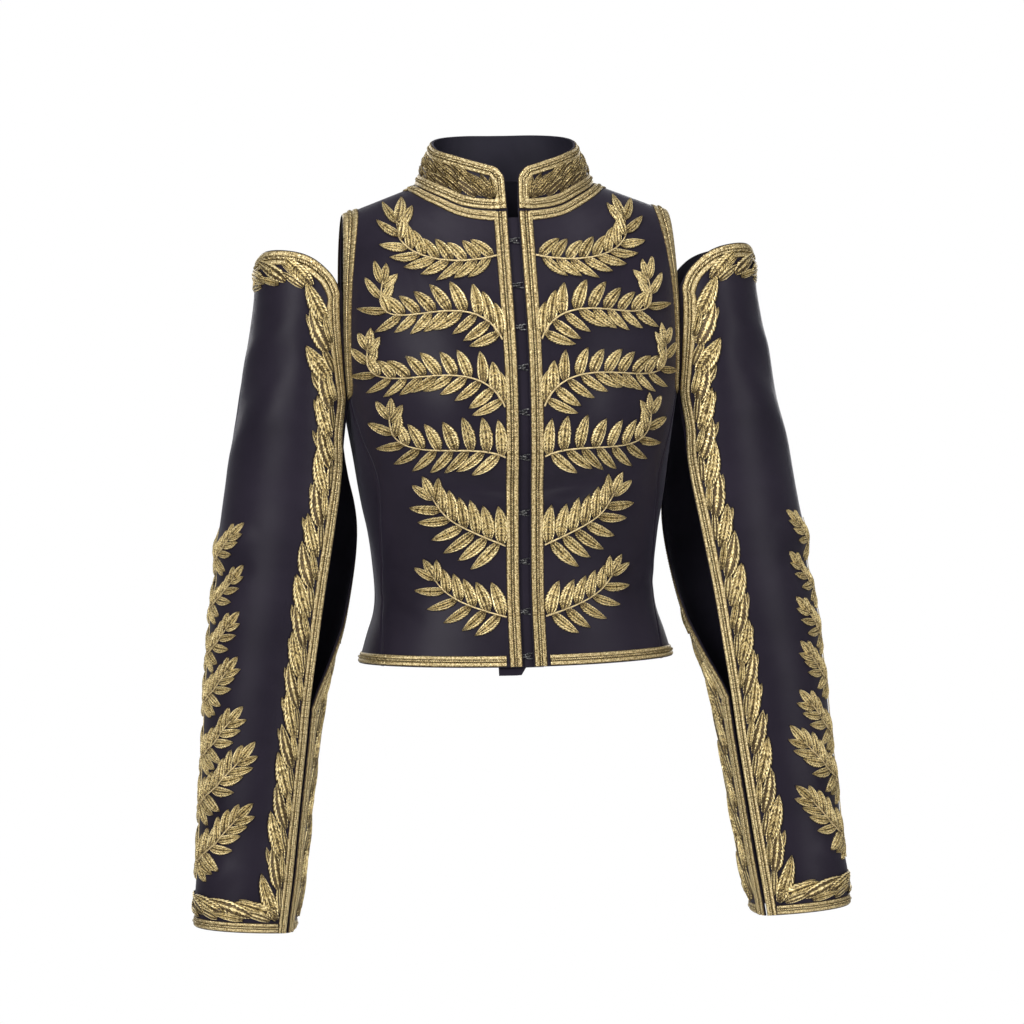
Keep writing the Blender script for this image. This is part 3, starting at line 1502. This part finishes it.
        self.lay("hem_braid", self.rails(both_halves(hem_half), self.width, pointing(0, 1)))
        self.lay("neck_braid", self.rails(both_halves(neck_half), self.width, away_from_neck, 0.6))

    def build_collar(self) -> None:
        """The collar's border: up the front edge, along the top, and along the seam."""
        halves = {side: CollarHalf(side) for side in Wearer}
        up = np.linspace(0.02, 0.93, 16)
        over = np.concatenate((np.linspace(0.006, 0.06, 10), np.linspace(0.07, 0.998, 70)))
        low = np.linspace(0.005, 0.998, 90)

        def inward(surface: Surface, point: Points) -> Points:
            down = np.where(np.abs(point[:, 0]) > 9, 60, 10)
            return stacked(surface.side.value * 40, 0, -down)

        top = both_halves(lambda side: [(halves[side], 0, up), (halves[side], over, 1)])
        bottom = both_halves(lambda side: [(halves[side], low, 0)])
        self.lay("collar_braid", self.rails(top, self.collar_width, inward, soften=10),
                 self.rails(bottom, self.collar_width, pointing(0, 1)))

    def build_sleeves(self) -> None:
        """Braids along both edges of each opening, over the top, and round the cuff."""
        edge = np.linspace(0, 1, 220)
        over = np.linspace(0.004, 0.4999, 90)
        cuff = np.linspace(0.044, 0.956, 120)

        def inset(z: Points) -> Points:
            above = smooth_step((z - BRAID_SHIFT_LOW_Z) / BRAID_SHIFT_REACH)
            below = smooth_step((BRAID_SHIFT_TOP_Z - z) / BRAID_SHIFT_TOP_REACH)
            return EDGE_INSET + SLEEVE_INSET * above * below

        def width(z: Points) -> Points:
            wider = smooth_step((z - self.opening_wide_z) / self.opening_wide_reach)
            return self.opening_width + self.opening_wider * wider

        def toward(s_high: float, s_low: float) -> Guide:
            def guide(surface: Surface, point: Points) -> Points:
                high = surface.point(np.array(s_high), np.array(0.85))
                low = surface.point(np.array(s_low), np.array(0.3))
                return np.where(point[:, 2:] > self.guide_z, high, low) - point
            return guide

        for side in Wearer:
            surface = SleeveTube(side)
            for word, at_edge, top, guide in (("front", 0, over, toward(0.3, 0.25)),
                                              ("back", 1, 1 - over, toward(0.7, 0.75))):
                route = ((surface, at_edge, edge), (surface, top, 1))
                self.lay(f"sleeve_{word}_braid_{side.word}", self.rails(route, width, guide, inset, 6))
            self.lay(f"cuff_braid_{side.word}",
                     self.rails(((surface, cuff, 0),), self.cuff_width, pointing(0, 1)))

    def build(self) -> None:
        """Makes all the braids."""
        self.build_body()
        self.build_collar()
        self.build_sleeves()


def pointing(outward: float, up: float) -> Guide:
    """One direction for a whole braid, from how far it points outward and how far up."""
    return lambda surface, point: np.broadcast_to(np.array((surface.side.value * outward, 0, up)),
                                                  point.shape)


def both_halves(half: Callable[[Wearer], list[Stretch]]) -> list[Stretch]:
    """A route along the left half of the jacket and back to the front along the right one."""
    back = [(surface, np.flip(s), np.flip(v)) for surface, s, v in reversed(half(Wearer.RIGHT))]
    return half(Wearer.LEFT) + back


@dataclass(frozen=True)
class Leaf:
    """A leaf on the left of a stem, side 1, or on its right, side -1.

    Its angle is in degrees from the stem's direction, and its curl turns it back by so many degrees.
    """

    distance: float
    side: int
    length: float
    width: float
    angle: float
    curl: float = 18
    offset: float = 0
    lift: float = 0
    is_open: bool = False
    shade: float = 0


@dataclass
class LeafWork:
    """The raised embroidery: padded leaves with a corded edge and a vein, on cord stems."""

    finishes: Finishes
    rim_height: float = 1.7
    crest: float = 2.6
    ragged: float = 0.05
    roll: float = 0.8
    stem_radius: float = 0.85
    stem_lift: float = 0.95
    stem_taper: float = 0.35
    sink: float = 0.35
    rows: int = 8
    template_width: float = 10
    template_length: float = 26

    # A leaf's outline: share along, half width as a share of its widest
    OUTLINE = Curve(((0, 0.38), (0.12, 0.8), (0.27, 1), (0.46, 1), (0.66, 0.85), (0.82, 0.55),
                     (0.94, 0.22), (1, 0)))
    # Places across a leaf, with the heights of its rim and padding and the tones of a full and an open one
    ACROSS = np.array((-1, -0.8, -0.58, -0.28, 0, 0.28, 0.58, 0.8, 1))
    RIM = np.array((0, 1, 0.5, 0, 0, 0, 0.5, 1, 0))
    PADDING = np.array((0, 0, 0.2, 1, 0.5, 1, 0.2, 0, 0))
    TONE = np.array((-0.7, 0.36, -0.3, 0.14, -0.46, 0.14, -0.3, 0.36, -0.7))
    OPEN_TONE = np.array((-0.5, 0.42, -0.6, -0.5, 0.3, -0.5, -0.6, 0.42, -0.5))

    def __post_init__(self) -> None:
        """Models the one leaf that all the others are copies of."""
        self.template = self._leaf()
        self.shape = values_of(self.template.data.vertices, "co", 3) / METRES_PER_MM
        half = np.maximum(self.OUTLINE.at(self.shape[:, 0])[0], 0.02)
        share = self.shape[:, 1] / half
        self.tilt = self.roll * (np.clip(share, -1, 1) + 0.4)
        root = 0.38 * (1 - smooth_step(self.shape[:, 0] * 3.2))
        self.tone = np.interp(share, self.ACROSS, self.TONE) - root
        self.open_tone = np.interp(share, self.ACROSS, self.OPEN_TONE) - root

    def _leaf(self) -> Thing:
        """A leaf of length 1 and half width 1, with its height in millimetres."""
        top = len(self.ACROSS)

        def place(across: Points, along: Points) -> Points:
            column = np.rint(across * top).astype(int) % top
            share = denser_ends(along, 0.3)
            body = np.sin(np.pi * np.clip(0.08 + 0.88 * share, 0, 1)) ** 0.6
            rise = (self.RIM[column] * self.rim_height * (1 - 0.35 * share)
                    + self.PADDING[column] * self.crest * body)
            zigzag = 1 + self.ragged * np.cos(np.pi * self.rows * along) * (abs(self.ACROSS[column]) > 0.9)
            return stacked(share, self.OUTLINE.at(share)[0] * self.ACROSS[column] * zigzag, rise)

        leaf = shaped_grid("leaf", top, self.rows, place, (1, 1))
        threads = leaf.data.uv_layers.active.data
        corners = values_of(threads, "uv", 2) / METRES_PER_MM
        column = np.rint(corners[:, 0] * top).astype(int) % top
        corners[:, 0] = np.abs(self.ACROSS[column]) * self.template_width * 0.5
        corners[:, 1] *= self.template_length
        threads.foreach_set("uv", (corners * METRES_PER_MM).ravel())
        outer = np.array([face.index % top in (0, 1, top - 3, top - 2) for face in leaf.data.polygons], int)
        leaf.data.polygons.foreach_set("material_index", outer)
        return closed(leaf, 65, self.finishes.leaf, self.finishes.rim)

    def leaves(self, chart: Chart, line: Line, rows: Sequence[Leaf]) -> Thing:
        """Leaves on a stem's line, as one object.

        Args:
            chart, line: The cloth that they lie on and the stem's line there.
            rows: The leaves.

        Returns:
            The object.
        """
        made = repeated(self.template, "leaves", len(rows))
        rng = np.random.default_rng(len(rows) * 101 + int(line.length))
        along, across, rise = self.shape.T
        places, heights, tones = [], [], []
        for leaf in rows:
            ahead = line.way(leaf.distance)
            left = np.array((-ahead[1], ahead[0]))
            root = line.at(leaf.distance) + left * leaf.offset * leaf.side
            length = leaf.length * rng.uniform(0.93, 1.06)
            start = math.radians(leaf.angle + rng.uniform(-5, 5))
            turn = start - math.radians(leaf.curl) * along
            mean = start - math.radians(leaf.curl) * along / 2
            out = left * leaf.side
            middle = root + (np.cos(mean)[:, None] * ahead + np.sin(mean)[:, None] * out) * (
                along * length)[:, None]
            beside = -np.sin(turn)[:, None] * ahead + np.cos(turn)[:, None] * out
            places.append(middle + beside * (across * leaf.width * rng.uniform(0.92, 1.06) / 2)[:, None])
            padded = np.minimum(rise, 1.3) if leaf.is_open else rise
            heights.append(padded * rng.uniform(0.9, 1.1) + leaf.lift + self.tilt - self.sink)
            tone = self.open_tone if leaf.is_open else self.tone
            tones.append(tone + leaf.shade + rng.uniform(-0.08, 0.06))
        place = np.concatenate(places)
        set_points(made, chart.raised(place[:, 0], place[:, 1], np.concatenate(heights)))
        set_shade(made, np.concatenate(tones))
        threads = made.data.uv_layers.active.data
        corners = values_of(threads, "uv", 2).reshape(len(rows), -1, 2)
        corners += rng.uniform(0, 1, (len(rows), 1, 2))
        threads.foreach_set("uv", corners.ravel())
        edit(made, face_outward)
        return made

    def stem(self, chart: Chart, line: Line, radius: float | None = None) -> Thing:
        """A cord along a line of the chart, over the roots of its leaves."""
        thick = radius or self.stem_radius

        def place(across: Points, along: Points) -> Points:
            angle = math.tau * across
            length = along * line.length
            ahead = line.way(length)
            left = np.stack((-ahead[:, 1], ahead[:, 0]), axis=-1)
            taper = 1 - self.stem_taper * along
            spot = line.at(length) + left * (np.cos(angle) * thick * taper)[:, None]
            return chart.raised(spot[:, 0], spot[:, 1], self.stem_lift + np.sin(angle) * thick * taper)

        rows = max(int(line.length / 2), 6)
        return closed(shaped_grid("stem", 6, rows, place, (thick * 6, line.length)), 75,
                      self.finishes.stem)

    def finish(self, node: str, parts: Sequence[Thing]) -> None:
        """Joins stems and leaves and finishes them as one piece."""
        finish_piece(joined(f"bullion_{node}", parts), Slot.LEAVES, node)


# Front sprays: root x, z; two pulls; tip x, z; pairs of leaves; length of an upper leaf at the root and
# at the tip, and of a lower one; degrees of the upper and the lower leaves to the stem
SPRAY_ROWS: tuple[Row, ...] = (
    (18, -55, 62, -66, 112, -56, 104, -20, 9, 24, 25, 29, 26, 66, 40),
    (18, -133, 44, -70, 142, -146, 121, -76, 11, 31, 18, 31, 21, 68, 46),
    (18, -194, 44, -130, 150, -200, 136, -135, 12, 28, 18, 30, 18, 72, 44),
    (18, -239, 52, -222, 124, -248, 119, -199, 9, 32, 19, 30, 20, 86, 58),
    (18, -319, 45, -307, 72, -298, 83, -273, 7, 33, 21, 33, 23, 66, 74),
    (18, -384, 45, -376, 72, -368, 82, -346, 6, 31, 20, 30, 22, 64, 66),
)
# Sprays on a sleeve's outer line: root's height, branch's length, pairs of leaves, leaf length
SLEEVE_SPRAY_ROWS: tuple[Row, ...] = (
    (-602, 66, 6, 25), (-550, 68, 6, 25), (-507, 55, 5, 23), (-457, 48, 5, 22), (-414, 46, 4, 21),
    (-371, 46, 4, 20), (-328, 40, 4, 19),
)


@dataclass(frozen=True)
class Growth:
    """How the leaves of a spray stand to its stem."""

    first: float = 4
    last: float = 5
    upper: float = 70
    lower: float = 38
    at_tip: float = 42
    width: float = 4.1
    slenderness: float = 0.27
    narrower: float = 2.2
    stagger: float = 3
    highest: float = 92
    highest_until: float = 0.6
    lowest: float = -42
    lowest_until: float = 0.3
    size_power: float = 1.8
    angle_power: float = 1.5

    def leaves(self, line: Line, pairs: int, sizes: Sequence[float], way: int = 1) -> list[Leaf]:
        """Leaves in pairs along a stem with one at its tip, smaller towards the tip.

        Args:
            line, pairs: The stem and how many pairs it has.
            sizes: The length of an upper leaf at the root and at the tip, and of a lower one.
            way: 1 for upper leaves on the stem's left, -1 on its right.

        Returns:
            The leaves.
        """
        rows = []
        for pair in range(pairs):
            share = pair / max(pairs - 1, 1)
            distance = self.first + (line.length - self.last - self.first) * share
            ahead = line.way(distance)
            heading = math.degrees(math.atan2(ahead[1], ahead[0] * way))
            for side, angle in ((1, self.upper), (-1, self.lower)):
                first, last = sizes[:2] if side > 0 else sizes[2:]
                leaf = first + (last - first) * share ** self.size_power
                turn = angle + (self.at_tip - angle) * share ** self.angle_power
                if side > 0 and share < self.highest_until:
                    turn = min(turn, self.highest - heading)
                if side < 0 and share < self.lowest_until:
                    turn = max(turn, min(heading - self.lowest, 90))
                shift = 0 if side > 0 else self.stagger
                width = self.width + leaf * self.slenderness - (self.narrower if side < 0 else 0)
                rows.append(Leaf(min(distance + shift, line.length), side * way, leaf, width, turn,
                                 lift=0.3 * (pair % 2)))
        tip = sizes[1]
        rows.append(Leaf(line.length - 1, way, tip, self.width + tip * self.slenderness, 4, 6, lift=0.35))
        return rows


@dataclass
class Sprays:
    """Laurel sprays on the fronts, the collar and the outer line of the sleeves."""

    leaves: LeafWork
    spine_low: float = -618
    spine_high: float = -300
    spine_a: float = 9
    spine_cord: float = 0.6
    branch_angle: float = 31
    branch_curl: float = 16
    collar_shade: float = -0.24
    collar_places: int = 15
    collar_pitch: float = 14.8
    collar_line: float = 11
    collar_lean: float = 16
    collar_lean_reach: float = 16
    collar_curl: float = 20

    # Leaves at a collar's corner: length, angle
    COLLAR_CORNER_ROWS = ((21, 88), (25, 64), (29, 44))
    # Rows of leaves along a collar: step, length, width, angle, offset, lift, and 0 or 1 if every other
    # leaf is an open one
    COLLAR_ROWS = ((0, 33, 9, 20, 0, 0.1, 1), (4.5, 30, 8.6, 27, 7, 0.5, None), (9, 22, 7, 22, 13, 0.2, 0))

    def build_fronts(self) -> None:
        """Six sprays on each front, each on its own curved stem."""
        for side in Wearer:
            chart = FrontChart(MainPanel(side, True))
            for number, row in enumerate(SPRAY_ROWS, start=1):
                line = bezier_line(row)
                growth = Growth(upper=row[13], lower=row[14])
                rows = growth.leaves(line, int(row[8]), row[9:13])
                parts = [self.leaves.leaves(chart, line, rows), self.leaves.stem(chart, line)]
                self.leaves.finish(f"front_spray_{number}_{side.word}", parts)

    def build_collar(self) -> None:
        """Long leaves that fan back from each front corner of the collar, in three rows."""
        parts = []
        for side in Wearer:
            chart = CollarChart(CollarHalf(side))
            line = Line(np.array(((12, self.collar_line), (COLLAR_HALF_LENGTH - 1, self.collar_line))))
            rows = [Leaf(0, 1, length, 9, angle, lift=0.4, shade=self.collar_shade)
                    for length, angle in self.COLLAR_CORNER_ROWS]
            for place in range(self.collar_places):
                distance = 1 + place * self.collar_pitch
                lean = self.collar_lean * math.exp(-distance / self.collar_lean_reach)
                spread = min(1, distance / 12)
                for step, size, width, angle, offset, lift, open_at in self.COLLAR_ROWS:
                    rows.append(Leaf(distance + step, 1, size, width, angle + lean, self.collar_curl,
                                     offset * spread, lift, place % 2 == open_at, self.collar_shade))
            parts.append(self.leaves.leaves(chart, line, rows))
        self.leaves.finish("collar_leaves", parts)

    def build_sleeves(self) -> None:
        """A spine up the outer line of each lower sleeve, with a spray to each side at each root."""
        growth = Growth(last=7, upper=50, lower=48, at_tip=40, width=3, narrower=0, stagger=1.5)
        for side in Wearer:
            chart = SleeveChart(SleeveTube(side))
            spine = Line(np.array(((self.spine_a, self.spine_low), (self.spine_a, self.spine_high))))
            parts = [self.leaves.stem(chart, spine, self.spine_cord)]
            for root_z, reach, pairs, size in SLEEVE_SPRAY_ROWS:
                for way in (1, -1):
                    stops = [np.array((self.spine_a, root_z))]
                    for degrees in (self.branch_angle, self.branch_angle + self.branch_curl):
                        lean = math.radians(degrees)
                        step = np.array((way * math.cos(lean), math.sin(lean))) * reach * 0.5
                        stops.append(stops[-1] + step)
                    line = Line(np.array(stops))
                    rows = growth.leaves(line, int(pairs), (size, size * 0.8, size, size * 0.8), way)
                    rows.append(Leaf(2, -way, size, size * 0.4, 84, 14))
                    parts.append(self.leaves.leaves(chart, line, rows))
                    parts.append(self.leaves.stem(chart, line))
            self.leaves.finish(f"sleeve_sprays_{side.word}", parts)

    def build(self) -> None:
        """Makes all the sprays."""
        self.build_fronts()
        self.build_collar()
        self.build_sleeves()


@dataclass
class Garlands:
    """Leaf garlands beside the braids of each sleeve."""

    leaves: LeafWork
    inset: float = 10.5
    back_extra: float = 1.8
    pitch: float = 55
    end_pitch: float = 47
    low_z: float = -655
    turn_z: float = -96
    top_depth: float = 22
    top_closer: float = 3.2
    closer_z: float = -190
    closer_reach: float = 50
    scroll_depth: float = 20
    scroll_turns: float = 2.2
    scroll_reach: float = 8.5
    scroll_core: float = 2
    scroll_cord: float = 1.4
    end_room: float = 9

    # Rows of leaves: place in the pitch, length, width, angle, curl, offset, lift, whether they are open
    ROWS = (
        (0, 45, 13.5, 27, 14, 4.5, 0.8, False),
        (0.13, 30, 7.6, 15, 6, 1, 0.2, True),
        (0.3, 24, 7, 36, 18, 10, 0, False),
        (0.5, 45, 12.6, 25, 14, 4.5, 0.5, True),
        (0.63, 30, 7.2, 15, 6, 1, 0.9, False),
        (0.8, 24, 7, 36, 18, 10, 0, True),
    )

    def rows(self, length: float, side: int, size: float, pitch: float) -> list[Leaf]:
        """Rows of slanted leaves that overlap like tiles.

        Args:
            length: The garland's length.
            side: The side of its line on which the leaves lie.
            size: The leaves' size as a share of the full one.
            pitch: The length after which all repeats.

        Returns:
            The leaves.
        """
        return [Leaf((place + phase) * pitch, side, long * size, wide * size, angle, curl, offset * size,
                     lift, is_open)
                for place in range(math.ceil(length / pitch))
                for phase, long, wide, angle, curl, offset, lift, is_open in self.ROWS
                if (place + phase) * pitch < length - self.end_room]

    def opening(self, chart: SleeveChart, is_front: bool) -> Line:
        """The line beside one edge of the opening."""
        z = np.linspace(self.low_z, self.turn_z, 60)
        inset = self.inset + (0 if is_front else self.back_extra)
        inset = inset + SLEEVE_INSET * smooth_step((z - BRAID_SHIFT_LOW_Z) / BRAID_SHIFT_REACH)
        inset = inset - self.top_closer * smooth_step((z - self.closer_z) / self.closer_reach)
        places = chart.at_share(np.full(60, 0 if is_front else 1), z)
        places[:, 0] += -inset if is_front else inset
        return Line(places)

    def across(self, chart: SleeveChart, is_top: bool, first: float, last: float) -> Line:
        """The line below the top edge or above the cuff's edge, from near a corner to the outer line."""
        s = np.linspace(first, last, 40)
        low = self.inset + self.top_depth
        return Line(chart.at_share(s, SLEEVE_TOP.at(s)[0] - low if is_top else cuff_height(s) + self.inset))

    def scroll(self, chart: SleeveChart) -> Thing:
        """The coiled cord in which the top garland ends on the shoulder."""
        share = np.linspace(0, 1, 60)
        turn = math.tau * self.scroll_turns * share
        centre = chart.at_share(np.array((0.5,)), SLEEVE_TOP.at(np.array((0.5,)))[0] - self.scroll_depth)
        reach = self.scroll_reach + (self.scroll_core - self.scroll_reach) * share
        points = centre + np.stack((np.cos(turn), np.sin(turn)), axis=-1) * reach[:, None]
        return self.leaves.stem(chart, Line(points), self.scroll_cord)

    def build(self) -> None:
        """Makes the four garlands of each sleeve."""
        for side in Wearer:
            chart = SleeveChart(SleeveTube(side))
            tops = ((self.across(chart, True, 0.135, 0.475), -1),
                    (self.across(chart, True, 0.865, 0.525), 1))
            cuffs = ((self.across(chart, False, 0.055, 0.49), -1),
                     (self.across(chart, False, 0.945, 0.51), 1))
            routes = (
                ("front", 1, self.pitch, ((self.opening(chart, True), 1),)),
                ("back", 1, self.pitch, ((self.opening(chart, False), -1),)),
                ("top", 0.95, self.end_pitch, tops),
                ("cuff", 0.95, self.end_pitch, cuffs),
            )
            for word, size, pitch, lines in routes:
                parts = [self.leaves.leaves(chart, line, self.rows(line.length, leaf_side, size, pitch))
                         for line, leaf_side in lines]
                if word == "top":
                    parts.append(self.scroll(chart))
                self.leaves.finish(f"garland_{word}_{side.word}", parts)


@dataclass
class Hooks:
    """Ten fastened hooks and eyes of black wire down the centre front."""

    finishes: Finishes
    heights: Row = (-40, -82, -121, -158, -199, -240, -290, -334, -379, -419)
    wire: float = 0.55
    depth: float = 2.1
    hook_lift: float = 0.75

    # The wire's path across the opening, X and Z, as a flat eye with a hook through it
    EYE = ((4.6, 2.6), (1.6, 2.4), (-1.2, 1.9), (-2.3, 0), (-1.2, -1.9), (1.6, -2.4), (4.6, -2.6))
    HOOK = ((-4.8, 1.1), (-1.6, 1), (0.9, 0.75), (1.7, 0), (0.9, -0.75), (-1.6, -1), (-4.8, -1.1))

    def wire_loop(self, points: Sequence[Pair], centre: Points, normal: Points, lift: float) -> Thing:
        """A bent wire in the plane of the opening.

        Args:
            points: Its path, X and up.
            centre, normal: The hook's place and the way out of the cloth there.
            lift: How far out it lies.

        Returns:
            The closed tube.
        """
        path = Curve([(place, *point) for place, point in enumerate(points)])
        last = float(len(points) - 1)
        up = np.array((0, -normal[2], normal[1]))
        up = up if up[2] > 0 else -up

        def place(across: Points, along: Points) -> Points:
            x, z = path.at(along * last)
            x_next, z_next = path.at(np.minimum(along * last + 0.02, last))
            x_back, z_back = path.at(np.maximum(along * last - 0.02, 0))
            ahead = unit(np.stack((x_next - x_back, z_next - z_back), axis=-1))
            angle = math.tau * across
            x = x - ahead[:, 1] * np.cos(angle) * self.wire
            z = z + ahead[:, 0] * np.cos(angle) * self.wire
            out = lift + np.sin(angle) * self.wire
            return centre + stacked(x, 0, 0) + up * z[:, None] + normal * out[:, None]

        return closed(shaped_grid("wire", 8, 30, place, (2.6, 20)), 80, self.finishes.wire)

    def build(self) -> None:
        """Makes one piece for each hook and eye."""
        front = MainPanel(Wearer.LEFT, True)
        for number, height in enumerate(self.heights, start=1):
            z = np.array(height)
            s, v = front.found(np.array(0), rough_share(z), np.array(FRONT_EDGE_X), z)
            normal = unit(front.normal(s, v) * np.array((0, 1, 1)))
            centre = front.point(s, v) - normal * self.depth
            centre[0] = 0
            node = f"hook_and_eye_{number:02d}"
            parts = [self.wire_loop(self.EYE, centre, normal, 0),
                     self.wire_loop(self.HOOK, centre, normal, self.hook_lift)]
            finish_piece(joined(f"wire_{node}", parts), Slot.METAL, node)


@dataclass
class Studio:
    """The pale floor, the soft light and the camera."""

    floor_z: float = -1.42
    floor_radius: float = 4.4
    floor_glow: float = 0.62
    camera_distance: float = 3.5
    camera_turn: float = -6.5
    camera_roll: float = 1.38
    target: Colour = (-0.0034, -0.03, -0.2886)
    lens: float = 133
    room: float = 0.28

    @staticmethod
    def put(name: str, data: bpy.types.ID, place: Sequence[float]) -> Thing:
        """Puts a lamp or a camera in the scene."""
        thing = bpy.data.objects.new(name, data)
        bpy.context.scene.collection.objects.link(thing)
        thing.location = place
        return thing

    def floor(self) -> None:
        """A wide plain floor at standing height below the shoulders."""
        deselect_all()
        bpy.ops.mesh.primitive_circle_add(vertices=96, radius=self.floor_radius, fill_type="NGON",
                                          location=(0, 0, 0))
        ground = bpy.context.object
        ground.name = "floor"
        ground.data.transform(Matrix.Translation((0, 0, self.floor_z)))
        made, sheet, shader = start_material("pale_floor")
        for name, value in (("Base Color", (0.9, 0.9, 0.9, 1)), ("Roughness", 0.9),
                            ("Emission Color", (1, 1, 1, 1))):
            sheet.feed(shader.inputs[name], value)
        seen = sheet.add("ShaderNodeLightPath").outputs["Is Camera Ray"]
        sheet.feed(shader.inputs["Emission Strength"], sheet.math("MULTIPLY", seen, self.floor_glow))
        ground.data.materials.append(made)

    def lights(self) -> None:
        """A white room with large soft boxes ahead, above and at the sides."""
        world = bpy.data.worlds.new("studio")
        bpy.context.scene.world = world
        world.use_nodes = True
        sheet = NodeSheet(world.node_tree)
        room = world.node_tree.nodes["Background"]
        room.inputs["Color"].default_value = (1, 1, 1, 1)
        room.inputs["Strength"].default_value = self.room
        backdrop = sheet.add("ShaderNodeBackground", {"Color": (1, 1, 1, 1), "Strength": 1})
        seen = sheet.add("ShaderNodeLightPath").outputs["Is Camera Ray"]
        mixed = sheet.add("ShaderNodeMixShader", {0: seen, 1: room.outputs[0], 2: backdrop.outputs[0]})
        sheet.feed(world.node_tree.nodes["World Output"].inputs["Surface"], mixed.outputs[0])
        boxes = (
            ("key", (-1.7, -2.3, 0.8), 1.3, 83),
            ("fill", (1.8, -2.4, 0.2), 1.3, 47),
            ("top", (0.1, -0.6, 2), 1, 25),
            ("back_left", (-1.1, 3, 0.9), 1.3, 17),
            ("back_right", (1.3, 2.9, 0.5), 1.3, 15),
        )
        for name, place, size, power in boxes:
            light = bpy.data.lights.new(name, "AREA")
            light.shape = "SQUARE"
            light.size = size
            light.energy = power
            lamp = self.put(name, light, place)
            way = Vector(self.target) - Vector(place)
            lamp.rotation_euler = way.to_track_quat("-Z", "Y").to_euler()

    def camera(self) -> None:
        """The camera at the photograph's viewing angle."""
        data = bpy.data.cameras.new("camera")
        data.lens = self.lens
        data.sensor_width = 36
        turn = math.radians(self.camera_turn)
        away = np.array((math.sin(turn), -math.cos(turn), 0))
        eye = self.put("camera", data, np.array(self.target) + away * self.camera_distance)
        eye.rotation_euler = (math.radians(90), math.radians(self.camera_roll), turn)
        bpy.context.scene.camera = eye

    def build(self) -> None:
        """Makes the studio."""
        self.camera()
        self.floor()
        self.lights()
        bpy.context.scene.view_settings.view_transform = "Standard"


def main() -> None:
    """Builds the studio and dresses the jacket."""
    logging.basicConfig(level=logging.INFO, format="%(message)s")
    Studio().build()
    finishes = build_finishes()
    ClothWork(finishes).build()
    BraidWork(finishes).build()
    leaf_work = LeafWork(finishes)
    Sprays(leaf_work).build()
    Garlands(leaf_work).build()
    Hooks(finishes).build()
    bpy.data.objects.remove(leaf_work.template, do_unlink=True)
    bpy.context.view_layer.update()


if __name__ == "__main__":
    main()
